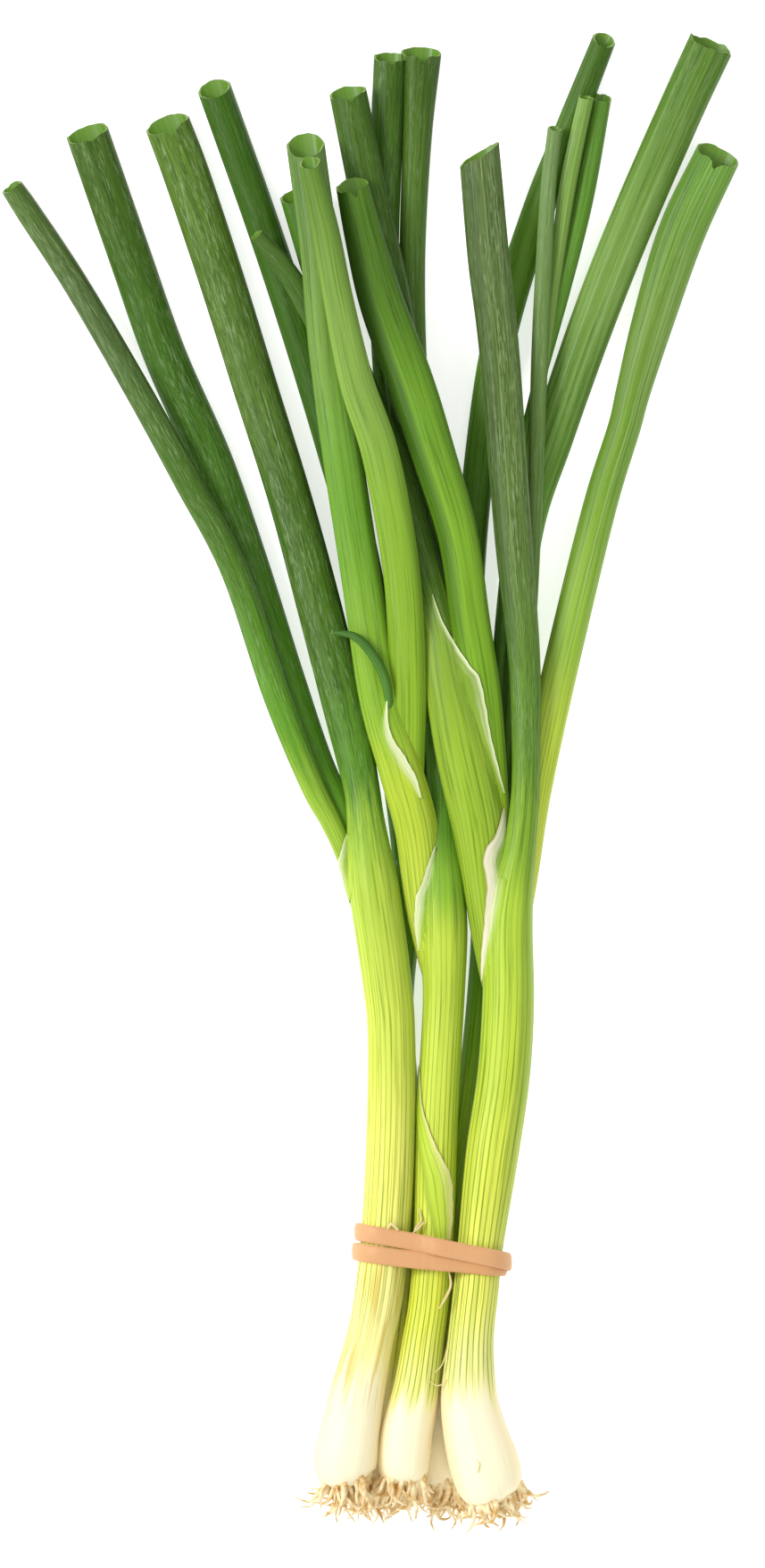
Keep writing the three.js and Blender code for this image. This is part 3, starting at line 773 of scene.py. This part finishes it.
def skin_under(route, x, y):
    """Where a point seen from above lies in the skin of what follows the route."""
    number = min(range(1, len(route.places) - 1), key=lambda i: math.dist(route.places[i][:2], (x, y)))
    spot, ahead = route.places[number], route.places[number + 1]
    heading = heading_between(spot, ahead)
    apart = Vector((x - spot[0], y - spot[1]))
    along = route.reach[number] + apart.dot(heading)
    across = apart.dot(Vector((heading.y, -heading.x))) / (spot[3] / 2)
    if abs(across) > FLANK:
        across = math.copysign(FAR_FLANK - FLANK_ROOM * math.exp((FLANK - abs(across)) / FLANK_ROOM), across)
    return across, math.sqrt(1 - across * across), along / CM


def make_sheath_lip(name, rim, widths, inward, material, grown, host, behind, seed, sink=LIP_SINK):
    """A thin strip laid from above over its host and the piece behind it. rim is its free edge, and inward
    (1 right, -1 left) is the side where it grows out of its host, which it sinks into there."""
    under, host_route = grown[host]
    draw = random.Random(seed)
    phases = [draw.uniform(0, math.tau) for _ in FRAY_WAVES]
    deselect_all()
    bpy.ops.mesh.primitive_grid_add(x_subdivisions=LIP_LANES, y_subdivisions=LIP_ROWS, size=1)
    strip = bpy.context.object
    strip.name = name
    route = Route([(x, y, LIP_START_HEIGHT, width, 0.0) for (x, y), width in zip(rim, widths)])
    lifts = []
    skin = strip.data.attributes.new("skin", "FLOAT_VECTOR", "POINT")
    for vertex in strip.data.vertices:
        along = 0.5 - vertex.co.y
        inside = 0.5 - vertex.co.x
        x, y, z, width, _ = route.at(along * route.length)
        heading = heading_between(route.at(along * route.length - 0.5), route.at(along * route.length + 0.5))
        frayed = FRAY * sum(math.sin(waves * along + phase) / number
                            for number, (waves, phase) in enumerate(zip(FRAY_WAVES, phases), 1))
        offset = -inward * (inside + frayed * (1 - inside)) * width
        x, y = x + heading.y * offset, y - heading.x * offset
        vertex.co = Vector((x, y, z)) * MM
        skin.data[vertex.index].vector = skin_under(host_route, x, y)
        lifts.append(LIP_LIFT * (1 - inside) ** 3 - sink * inside ** 3)
    apply_modifier(strip, "SHRINKWRAP", wrap_method="PROJECT", wrap_mode="ABOVE_SURFACE", use_project_z=True,
                   use_negative_direction=True, use_positive_direction=False, target=under,
                   auxiliary_target=grown[behind][0], offset=LIP_GAP * MM)
    points = strip.data.vertices
    laid = [point for point in points if point.co.z <= MISSED_HEIGHT * MM]
    for point in points:
        if point.co.z > MISSED_HEIGHT * MM:
            point.co = min(laid, key=lambda other: (other.co.xy - point.co.xy).length).co
    for point, lift in zip(points, lifts):
        point.co.z += lift * MM
    turn_faces_out(strip)
    apply_modifier(strip, "SOLIDIFY", thickness=LIP_THICK * MM, offset=1)
    turn_faces_out(strip)
    finish_piece(strip, [material], "shaft")


# ---------------- the bunch

LEFT = Route([
    (-6, -157.8, 17.4, 6.4), (-6.2, -156.6, 17.6, 10.8), (-6.4, -154.4, 17.8, 13.4), (-6, -151.5, 18, 14.5),
    (-5, -145.5, 18, 13.4), (-3, -135.5, 17.6, 12), (-0.6, -125.4, 17.1, 10.8), (1.4, -115.4, 16.8, 11),
    (3.2, -98, 16.7, 11), (4.2, -75, 16.5, 10.9), (4.2, -56, 16.3, 10.7), (3.2, -45, 16, 11),
    (0.6, -26, 15.3, 11.4, 11.2), (-0.5, -18, 15, 10.2, 9.6), (-1.6, -9, 15.4, 8.6, 7.6),
    (-2.6, -1, 15.2, 8.2, 6), (-6, 15, 13.4, 9.6, 5.6), (-12, 39, 10.8, 10, 5.8),
    (-18.5, 63, 8.2, 9.8, 5.8), (-26, 87, 6, 10, 5.8), (-33.5, 111, 4.6, 10.2, 5.8),
    (-41.5, 135, 3.8, 10.4, 5.8), (-46, 147, 3.5, 10.2, 5.8)])
MIDDLE = Route([
    (6.8, -157.6, 16, 5.6), (6.8, -156.4, 16.1, 9.4), (6.9, -154.4, 16.3, 11.2), (7, -151.5, 16.6, 11.8),
    (7.8, -145.5, 16.8, 11.6), (9.8, -136.4, 16.6, 10.4), (11.4, -125.4, 16.5, 9.4),
    (12.8, -115.4, 16.3, 9.1), (13.8, -100, 16.2, 9.1), (14.4, -78, 15.5, 9.4), (15.4, -60, 15.2, 9.2),
    (16, -48, 14.9, 9.4), (16, -34, 14.5, 10.6, 10.4), (15.8, -25, 14.5, 9.8, 9.4),
    (15.6, -17, 14, 8.4, 7.6), (15.7, -9, 12.8, 6.8, 5.6), (15.5, 3, 10.6, 6.8, 4.4),
    (13.5, 31, 8.4, 7.6, 4.4), (11, 63, 8, 8.4, 4.4), (7.5, 87, 8.4, 8.6, 4.4), (4, 109, 8.8, 8.6, 4.6),
    (-1, 132, 8.8, 8.6, 5), (-5.5, 154, 8.4, 8.4, 5.4)])
RIGHT = Route([
    (27.6, -161.4, 16.8, 7.4), (27.1, -160, 17.1, 12.4), (26.2, -157.2, 17.5, 15),
    (24.8, -152.5, 17.8, 15.6), (22.8, -145.4, 17.8, 14.2), (21.6, -137.4, 17.3, 12.6),
    (22, -125.4, 16.9, 10.4), (23.2, -114, 16.6, 10.2), (24.2, -104, 16.6, 10.3), (26.8, -84, 16.4, 11.8),
    (29.4, -66, 15.8, 11.8), (30.4, -50, 15.5, 11.6), (30.4, -34, 15.2, 11), (31.2, -25, 15.4, 9.8, 9.4),
    (33, -15, 16.2, 7.4, 7), (34.2, -4, 16.9, 6.4, 5.4), (34.4, 8, 17, 6.4, 5), (34, 27, 16.4, 7.2, 5),
    (31.5, 55, 15.2, 8.4, 5), (28.5, 95, 14, 9, 5), (26, 117, 13.8, 9.4, 5), (24, 140, 13.4, 9.2, 5.4)])
BACK_LEFT = Route([
    (1, -158.4, 5.8, 5.4), (1, -157, 5.7, 9), (1, -154.6, 5.6, 11), (1.2, -150.5, 5.9, 11.6),
    (2.4, -144, 5.7, 11.2), (4.8, -131, 6.2, 10.2), (6.8, -116, 6.5, 9.6), (7.8, -100, 6.6, 9.2),
    (6.6, -78, 6.3, 8.8), (4.8, -52, 5.8, 8.8), (6, -34, 5.3, 9.2), (7.6, -22, 5, 7.6, 7),
    (8.6, -10, 4.2, 5.8, 4.6), (8, 23, 3, 6.4, 4), (6.5, 55, 2.8, 6.8, 4.2), (4, 85, 3, 7, 4.4),
    (2.5, 115, 3.4, 7, 4.6), (3, 139, 3.6, 7.2, 5), (4, 162, 3.6, 7.4, 5.4)])
BACK_RIGHT = Route([
    (16.4, -159.2, 6, 5.6), (16.4, -157.8, 6, 9.4), (16.2, -155.4, 5.9, 11.4), (16, -151.5, 6.1, 12),
    (16.4, -144, 5.9, 11.4), (17.4, -131, 6.7, 10.2), (18.4, -116, 7.1, 9.6), (19, -104, 7.2, 9.2),
    (21.2, -85, 6.9, 9), (24.4, -62, 6, 9), (26.4, -42, 5.5, 9.4), (26.8, -26, 5.1, 8.6, 8),
    (27.6, -12, 4.4, 6.6, 5.4), (30, 19, 3.2, 7.6, 4.6), (34, 55, 3, 8.4, 4.8), (40.5, 77, 3, 9.4, 5.2),
    (49.5, 103, 3, 10, 5.6), (59, 127, 3, 10.2, 5.8), (69.5, 151, 3.1, 10.2, 6), (76, 165, 3.1, 10.4, 6)])

CREAM = (253, 244, 208)
VEIN_GREEN = (96, 136, 20)
VEIN_DARK = (52, 88, 20)


def cut_materials(which):
    # The inside glows with painted light; the cut rim has no glow.
    return (bore_material(which + "_leaf_inside", colour(96, 138, 34), 0.12),
            bore_material(which + "_leaf_cut_rim", colour(108, 138, 52), 0.0))


# Onions: name, route, collar's y, veins, their reach and shade, skin settings, outermost leaf, its shape
# settings and the colours from bulb to leaf end
ONIONS = [
    ("left_onion", LEFT, -12, 28, (-134, -112, 4, 0.75, 0.14), VEIN_GREEN,
     dict(dashes=0.5, bloom=0.28, seed=1.0, earth=0.65), "left_onion_front_leaf", dict(slant=4, notch=1.8),
     [(-165, *CREAM), (-138, *CREAM), (-126, 250, 240, 160), (-92, 240, 238, 116), (-55, 206, 220, 86),
      (-24, 176, 202, 70), (-12, 150, 186, 62), (0, 86, 134, 32), (30, 70, 108, 24), (60, 68, 102, 26),
      (90, 84, 115, 40), (150, 88, 120, 36)]),
    ("middle_onion", MIDDLE, -15, 26, (-141, -134, 10, 0.95, 0.16), (96, 140, 24),
     dict(dashes=0.25, bloom=0.15, seed=14.0, painted_shade_right=0.35, uneven=7.0),
     "middle_onion_back_leaf", dict(slant=3, notch=1),
     [(-165, *CREAM), (-143, *CREAM), (-136, 244, 240, 140), (-120, 224, 229, 84), (-65, 202, 219, 80),
      (-38, 190, 212, 72), (-24, 130, 174, 50), (-10, 80, 126, 28), (60, 68, 102, 24), (154, 66, 98, 26)]),
    ("right_onion", RIGHT, -22, 26, (-140, -130, 10, 0.95, 0.16), (84, 132, 20),
     dict(dashes=0.4, bloom=0.3, silver=0.25, seed=27.0, painted_shade_right=0.35, painted_shade_left=0.6, uneven=9.0),
     "right_onion_front_leaf", dict(slant=1.5, skew=4.5, notch=0.6),
     [(-165, *CREAM), (-141, *CREAM), (-133, 250, 244, 158), (-116, 242, 240, 112), (-90, 214, 224, 84),
      (-62, 190, 212, 72), (-30, 172, 202, 64), (-14, 136, 174, 52), (10, 96, 136, 42), (60, 90, 114, 50),
      (140, 94, 112, 62)]),
    ("back_left_onion", BACK_LEFT, -16, 24, (-140, -130, 10, 0.8, 0.16), VEIN_GREEN,
     dict(dashes=0.5, bloom=0.15, seed=39.0), "back_left_onion_dark_leaf", dict(slant=2.5, notch=0.8),
     [(-165, *CREAM), (-142, *CREAM), (-130, 236, 234, 110), (-90, 160, 186, 60), (-40, 112, 156, 44),
      (0, 76, 112, 34), (100, 84, 126, 40), (162, 60, 94, 20)]),
    ("back_right_onion", BACK_RIGHT, -20, 24, (-140, -130, 10, 0.8, 0.16), VEIN_GREEN,
     dict(bloom=0.12, silver=0.25, seed=52.0), "back_right_onion_broad_leaf", dict(slant=2, ragged=0.9),
     [(-165, *CREAM), (-142, *CREAM), (-130, 236, 234, 110), (-90, 150, 180, 56), (-40, 104, 150, 40),
      (0, 92, 138, 38), (60, 98, 142, 46), (90, 94, 132, 46), (112, 116, 152, 66), (165, 80, 118, 32)]),
]


def make_onions():
    """The five shafts, each running on into its outermost leaf in the same skin."""
    bore, rim = cut_materials("outer")
    shafts = {}
    for number, (onion, route, collar_y, veins, reach, shade, look, leaf, form, stops) in enumerate(ONIONS):
        skin = plant_skin(onion + "_skin", stops, veins, reach, shade, **look)
        collar = route.distance_at_y(collar_y)
        shafts[onion] = make_shaft(onion + "_shaft", route, collar, skin, onion + "_stem"), route
        make_leaf(leaf.replace("leaf", "blade"), route, [skin, bore, rim], "dark_leaf", leaf, 2 + number,
                  collar, **form)
    return shafts


# Inner leaves: name, veins, skin and shape settings, colours up the leaf, and the route from foot to cut end
INNER_LEAVES = [
    ("right_onion_bright_leaf", 26, dict(bloom=0.05, painted_shade_right=0.35, painted_shade_left=0.8),
     dict(slant=3.5, notch=1.2),
     [(-20, 176, 196, 54), (10, 130, 174, 40), (50, 122, 166, 40), (80, 106, 150, 40), (110, 80, 118, 32),
      (140, 84, 124, 36)],
     [(30, -26, 14.6, 3.6, 3), (28.5, -11, 15.2, 4.8, 3.4), (26.5, 3, 15.8, 7.2, 4.2),
      (24.5, 19, 17.4, 8.6, 5.2), (22, 35, 18, 8.8, 5.4), (19, 55, 17.6, 9, 5.4), (13, 75, 17, 10, 5.4),
      (8.5, 89, 16.4, 10.4, 5.2), (2, 107, 15.2, 10, 5), (-2, 122, 14.4, 8.6, 4.8),
      (-4.5, 133, 14.2, 7.4, 4.8)]),
    ("middle_onion_front_leaf", 24, dict(bloom=0.05, painted_shade_right=0.3), dict(slant=3, ribs=0.02, rib_count=6),
     [(-20, 184, 200, 60), (10, 138, 174, 44), (60, 130, 168, 50), (90, 134, 168, 74), (140, 92, 126, 44)],
     [(9.6, -18, 14.2, 3.6, 3), (8.8, -5, 15.4, 5.2, 3.2), (8.2, 5, 16, 7, 3.6), (8, 23, 18.2, 8, 4.4),
      (6.5, 47, 19.4, 8.2, 4.6), (2, 72, 21, 8.2, 4.6), (-3.5, 89, 22.4, 7.6, 4.4),
      (-7.5, 107, 22.8, 6.6, 4.2), (-10.5, 123, 22.4, 6, 4), (-14, 138, 21.6, 4.8, 4)]),
    ("middle_onion_young_leaf", 16, dict(bloom=0.15), dict(slant=1, wall=0.35),
     [(40, 90, 140, 36), (90, 70, 108, 30), (125, 68, 98, 34)],
     [(-2.5, 57, 17, 2.8, 1.6), (-5.5, 75, 15, 3.6, 1.8), (-9.5, 94, 12.8, 4.4, 1.8),
      (-14.5, 106, 12.3, 5, 1.8), (-20, 115, 12.3, 4.6, 1.8), (-26, 122, 12.3, 3.4, 1.8)]),
    ("middle_onion_left_leaf", 30, dict(bloom=0.1, painted_shade_right=0.2), dict(slant=5.5, ribs=0.02, rib_count=7),
     [(-45, 200, 212, 80), (-5, 178, 200, 60), (20, 130, 172, 44), (60, 104, 152, 42), (100, 112, 148, 62),
      (142, 100, 132, 66)],
     [(14.4, -48, 14.3, 4), (12.8, -37, 14.4, 7, 6), (11.6, -27, 14.8, 9, 6.2), (9.8, -11, 15.4, 9.8, 6.2),
      (6, 3, 16.6, 9.8, 6), (1.5, 19, 17.2, 9.4, 5.6), (-2.5, 45, 17.2, 9, 5.2), (-6.5, 71, 17.2, 9, 5),
      (-10, 97, 17, 8.8, 5), (-12, 119, 16.6, 8.6, 5.4), (-15, 142, 16.2, 8.6, 6)]),
    ("right_onion_wide_leaf", 34, dict(bloom=0.1, painted_shade_right=0.3), dict(slant=3),
     # Its colours turn dark from 46 mm on, partly its own darker green and partly painted shade where it lies
     # under the leaves above it.
     [(-45, 158, 184, 54), (0, 148, 178, 52), (28, 130, 162, 50), (46, 72, 106, 26), (131, 70, 112, 28)],
     [(28.2, -50, 14.6, 5.4, 6), (26.8, -38, 14.9, 8, 7), (25.6, -27, 15.2, 9.6, 7.2),
      (24, -11, 15.8, 12.2, 7), (20.5, 5, 16.4, 12.4, 7.2), (17.5, 19, 16.4, 11, 6.6),
      (14.5, 35, 15.2, 9.2, 5.4), (10, 51, 13.6, 8.6, 4.8), (4.5, 70, 11.8, 8.4, 4.4),
      (-2.5, 87, 9.8, 8, 4.4), (-9.5, 106, 8.6, 7.6, 4.4), (-17, 131, 8.4, 7.6, 4.6)]),
    ("right_onion_outer_leaf", 26, dict(bloom=0.12, painted_shade_right=0.2, painted_shade_left=0.3, silver=0.35),
     dict(slant=4, notch=1.6),
     [(-30, 216, 224, 90), (8, 194, 216, 74), (36, 144, 182, 58), (70, 114, 154, 46), (100, 116, 150, 62),
      (140, 102, 148, 52)],
     [(33, -34, 13.6, 4), (35, -20, 13.4, 4.8, 4.2), (36.2, -5, 13, 7, 4.8), (39.5, 13, 11.6, 7.8, 5.2),
      (45.5, 39, 8.6, 7.8, 5.4), (51.5, 63, 6, 7.6, 5.4), (56.5, 79, 4.8, 7.4, 5.4),
      (58.5, 87, 4.2, 7.8, 5.4), (63, 103, 3.4, 9.4, 5.6), (69.5, 123, 3, 10.6, 5.8),
      (77.5, 140, 3, 10.2, 5.8)]),
    ("left_onion_thin_leaf", 22, dict(dashes=0.25, bloom=0.25), dict(slant=1.5),
     [(-35, 180, 202, 74), (-10, 154, 188, 60), (12, 92, 144, 32), (60, 70, 106, 30), (105, 74, 96, 48),
      (133, 78, 104, 44)],
     [(-0.6, -38, 14.2, 3), (-3.2, -27, 14.2, 4, 3.8), (-6, -17, 14.4, 4.4, 3.8),
      (-9.2, -9.5, 14.4, 4.8, 3.8), (-13.6, -1, 14, 5.4, 4), (-21.5, 19, 12.6, 6.2, 4.4),
      (-31, 47, 10.8, 6.2, 4.4), (-41.5, 67, 10, 6.2, 4.4), (-52.5, 87, 8.6, 6, 4.2),
      (-66.5, 111, 5, 5.8, 4.2), (-77, 127, 3, 5.6, 4.2), (-81, 133, 2.6, 5, 4)]),
    ("left_onion_back_leaf", 26, dict(dashes=0.25, bloom=0.2), dict(slant=3.5, notch=0.4),
     [(-35, 150, 184, 60), (-10, 96, 150, 32), (14, 82, 138, 26), (60, 64, 108, 22), (90, 58, 98, 16),
      (145, 62, 92, 20)],
     [(0, -36, 12.6, 3.6), (-2.4, -24, 12.6, 4.6, 3.8), (-5.6, -10, 12, 6.4, 4.2),
      (-12.2, 3, 9.4, 7.4, 4.6), (-19.5, 23, 6.5, 8.4, 5), (-27.5, 47, 4.6, 9.2, 5.4),
      (-36, 71, 3.6, 9.6, 5.6), (-46.5, 95, 3.2, 9.6, 5.8), (-55, 119, 3, 9.6, 5.8),
      (-64, 145, 3, 9.6, 5.8)]),
    ("back_right_onion_slim_leaf", 14, dict(bloom=0.3), dict(slant=1, wall=0.4),
     [(-20, 98, 136, 50), (40, 106, 138, 66), (146, 110, 138, 80)],
     [(28.5, -22, 7.4, 2.4, 2.6), (32, 3, 8.2, 2.8), (35, 31, 8.4, 3, 2.8), (36.5, 63, 8.4, 3.4, 3),
      (37.5, 94, 8.6, 3.8, 3), (38.5, 115, 9, 3.8, 3), (39.5, 133, 9.2, 3.4, 3), (41, 146, 9.2, 3.4, 3)]),
    ("back_right_onion_pale_leaf", 14, dict(bloom=0.2, silver=0.5), dict(slant=1, wall=0.4),
     [(-20, 112, 150, 50), (60, 118, 154, 58), (153, 118, 154, 64)],
     [(27, -20, 8.6, 2, 2.2), (30, 3, 8.4, 2.2), (32, 31, 8, 2.2, 2.4), (34, 63, 7.8, 2.4),
      (38.5, 94, 6.6, 2.6), (41, 113, 6.4, 3, 2.8), (44, 134, 6.8, 3.8, 3), (48, 153, 7, 3.4, 3)]),
    ("back_right_onion_folded_leaf", 14, dict(bloom=0.15), dict(slant=2, wall=0.4),
     [(-20, 92, 136, 42), (60, 84, 130, 40), (153, 92, 138, 44)],
     [(25.5, -17, 9, 2, 2.2), (27, 3, 8.4, 2.2), (29, 31, 7.8, 2.2, 2.4), (31, 63, 7.4, 2.4),
      (36, 84, 6.8, 2.6, 2.4), (43, 111, 5, 3.6, 3), (47.5, 131, 4, 4.6, 4), (51.5, 153, 3.4, 4.4)]),
    ("back_right_onion_crossing_leaf", 22, dict(bloom=0.08), dict(slant=3),
     [(-25, 100, 148, 36), (60, 84, 128, 32), (120, 92, 136, 36), (166, 62, 98, 20)],
     [(25, -25, 5, 3.6), (23.5, -5, 4, 5.2, 4.2), (22, 23, 3.2, 6, 4.6), (22, 47, 2.8, 6.6, 4.8),
      (24.5, 75, 2.8, 7, 5), (29, 101, 2.9, 7.6, 5), (37, 127, 2.9, 7.2, 5.2), (44.5, 147, 3, 6.2, 5.2),
      (52, 166, 3, 5.4, 5.2)]),
    ("back_left_onion_long_leaf", 24, dict(bloom=0.08), dict(slant=4),
     [(-23, 80, 124, 26), (60, 58, 98, 20), (155, 54, 92, 16)],
     [(7, -23, 5, 4), (6, -5, 5, 6, 4.6), (2.5, 19, 4.6, 6.8, 5), (-1.5, 47, 4, 7.2, 5),
      (-9, 75, 3.4, 7.6, 5), (-17.5, 103, 3.2, 7.6, 5.4), (-25.5, 127, 3, 7.6, 5.6),
      (-35.5, 155, 3, 7.6, 5.8)]),
    ("back_left_onion_lobed_leaf", 22, dict(bloom=0.15), dict(slant=3, notch=1.6, ribs=0.03, rib_count=6),
     [(-20, 90, 132, 38), (60, 98, 138, 46), (120, 84, 118, 40), (163, 64, 92, 24)],
     [(10, -20, 4.4, 2.8, 3), (13, -1, 3.4, 4, 3.4), (14, 27, 3, 5, 3.6), (12.5, 55, 2.6, 5.2, 3.8),
      (10, 85, 2.8, 5.2, 4), (9, 115, 3.2, 5.6, 4.4), (10, 143, 3.4, 6.4, 4.8), (11, 163, 3.4, 8.8, 5.4)]),
    ("middle_onion_curled_sprout", 10, dict(bloom=0.1), dict(slant=0.4, wall=0.3),
     [(15, 84, 134, 44), (33, 66, 112, 40)],
     [(4, 15, 18.6, 1.6), (3, 22, 20.8, 2.2, 2), (0, 28, 21.8, 2.2, 2), (-4, 32, 21.8, 1.8),
      (-9, 33, 20.8, 0.8, 1)]),
]


BRIGHT_LEAVES = ("middle_onion_front_leaf", "middle_onion_left_leaf", "right_onion_bright_leaf",
                 "right_onion_outer_leaf")


def make_inner_leaves():
    """The leaves that come out of a sheath, and the sprout."""
    bore, rim = cut_materials("inner")
    made = {}
    for number, (node, veins, look, form, stops, knots) in enumerate(INNER_LEAVES):
        foot_y = stops[0][0]
        reach = (foot_y - 10, foot_y, foot_y + 60, 0.7, 0.12)
        skin = plant_skin(node.replace("leaf", "skin").replace("sprout", "sprout_skin"), stops, veins, reach,
                          VEIN_DARK if foot_y > -19 else VEIN_GREEN, seed=60.0 + 7.0 * number, **look)
        name = node.replace("leaf", "blade").replace("sprout", "sprout_tip")
        route = Route(knots)
        slot = "bright_leaf" if node in BRIGHT_LEAVES else "dark_leaf"
        leaf = make_leaf(name, route, [skin, bore, rim], slot, node, 20 + number, **form)
        made[node] = leaf, route
    return made


def make_roots():
    tan = root_material()
    # node, middle and heading of its disc, its width, the roots' length and spread, how many, seed
    tufts = [
        ("left_onion_roots", (-5.6, -156.6, 17.2), (0.05, -1, -0.1), 10.6, 7.2, 4, 60, 31),
        ("middle_onion_roots", (6.8, -156.2, 16), (0, -1, -0.1), 9.6, 7.2, 4.6, 52, 32),
        ("right_onion_roots", (27.4, -160, 16.6), (0.3, -1, -0.2), 12.4, 6, 5.2, 62, 33),
        ("back_left_onion_roots", (1, -157.2, 5.8), (0, -1, 0), 9, 7.2, 5, 44, 34),
        ("back_right_onion_roots", (16.4, -158, 6), (0, -1, 0), 9.4, 7.2, 5, 46, 35),
    ]
    for node, *settings in tufts:
        root_hairs(node, tan, *settings)


def make_sheath_lips(grown):
    """The dry edges where each sheath opens and lets the next leaf out."""
    papery, pale = colour(216, 224, 174), colour(230, 236, 204)
    lips = [
        ("left_onion_collar_lip", "left_onion", "left_onion_thin_leaf", 1, papery, pale, 0.4,
         [(-5.4, -10.4), (-7, -16.4), (-7.6, -20.2), (-6.6, -24.8), (-6, -29)], [0.4, 2.4, 3.2, 2.4, 0.6]),
        ("middle_onion_collar_lip", "middle_onion", "middle_onion_left_leaf", 1, papery, pale, 0.35,
         [(13.9, -15), (12.2, -19.9), (10.7, -23.9), (9.7, -27), (9.8, -33.4), (10.3, -38.4)],
         [0.4, 3, 4.2, 4.4, 2.6, 0.5]),
        ("middle_onion_leaf_lip", "middle_onion_left_leaf", "middle_onion_front_leaf", -1, papery, pale, 0.3,
         [(3.4, 18), (3.7, 12.1), (4.9, 8.6), (7.2, 5), (9.6, 1), (11, -4)], [0.4, 2.2, 3.4, 4, 3.4, 0.8]),
        ("right_onion_leaf_lip", "right_onion_wide_leaf", "right_onion_bright_leaf", -1, papery, pale, 0.58,
         [(13.5, 41.4), (15.7, 35.4), (18.5, 30.4), (21.4, 26), (24.2, 22.6), (25.4, 17), (26.4, 11), (28, 3),
          (29.6, -3)], [0.5, 3, 4.6, 5.6, 6.2, 5.8, 4.6, 3.2, 0.8]),
        ("right_onion_collar_lip", "right_onion", "right_onion_wide_leaf", 1,
         colour(232, 228, 200), colour(208, 168, 134), 0.3,
         [(30.6, -1.2), (29.2, -6.5), (27.6, -12.4), (25.6, -15.8), (25, -19), (25.6, -24), (25.1, -30),
          (24.6, -38), (24.6, -45)], [0.5, 2.4, 4, 5.6, 6, 5.4, 4.6, 3, 0.6]),
    ]
    for number, (name, host, behind, inward, dry, edge, dries, rim, widths) in enumerate(lips):
        material = grown_lip_material(grown[host][0].data.materials[0], name + "_skin", dry, edge, dries)
        make_sheath_lip(name, rim, widths, inward, material, grown, host, behind, 41 + number)
    make_sheath_lip("middle_onion_old_lip",
                    [(10.5, -62), (11, -68.4), (11.6, -74), (13.2, -79.4), (14.8, -83.4), (16.6, -87.6),
                     (17.7, -91.6), (17.9, -97), (17.4, -103)], [0.4, 1.2, 2, 3.6, 5, 6.4, 7, 6, 4], -1,
                    old_lip_material(), grown, "middle_onion", "left_onion", 46, sink=0.0)


def dry_material():
    material, tree, shader = new_material("dry_shred_straw")
    plug(tree, shader, [("Base Color", colour(226, 206, 146)), ("Roughness", 0.7)])
    return material


SHRED_STEPS = 24

# Dry shreds of old sheath and stray hairs: where each runs, and how thick it is
SHREDS = [
    [(10.4, -96, 20.2, 0.3), (11, -98.6, 20.6, 0.5), (9.6, -101, 21, 0.7), (11.2, -103.4, 21, 0.5)],
    [(8.4, -102, 22, 0.3), (10.2, -100.6, 21.6, 0.6), (11.6, -99, 21, 0.4)],
    [(3.4, -100.6, 22.8, 0.4), (4.4, -99.4, 23.2, 0.7), (5.8, -100.8, 23.2, 0.5)],
    [(17, -109.4, 20.8, 0.3), (17.6, -113, 21.2, 0.6), (16.4, -116, 21.6, 0.6), (15, -118.4, 21.4, 0.3)],
    [(13.6, -133, 20.4, 0.2), (15.6, -131, 20.8, 0.3), (16.8, -127, 20.2, 0.2)],
    [(12.6, -134.6, 21, 0.2), (15, -135.6, 21, 0.3), (17.6, -133.6, 20.8, 0.2)],
    [(21.6, -155, 24.4, 0.25), (22.4, -152.4, 25, 0.35), (24, -152.8, 25.6, 0.35), (23.6, -155, 25.8, 0.25)],
]


def make_shreds(material):
    shreds = start_strands(0.5)
    for places in SHREDS:
        route = Route(places)
        for number, point in enumerate(add_line(shreds, SHRED_STEPS)):
            x, y, z, thick, _ = route.at(route.length * number / SHRED_STEPS)
            point.co = (x * MM, y * MM, z * MM, 1)
            point.radius = thick
    finish_strands(shreds, "dry_shreds", material, "shaft")


def make_bunch():
    shafts = make_onions()
    make_sheath_lips({**shafts, **make_inner_leaves()})
    make_shreds(dry_material())
    make_roots()
    make_band((LEFT, MIDDLE, RIGHT, BACK_LEFT, BACK_RIGHT), rubber_material())


make_bunch()
add_camera()
add_studio()
add_floor()
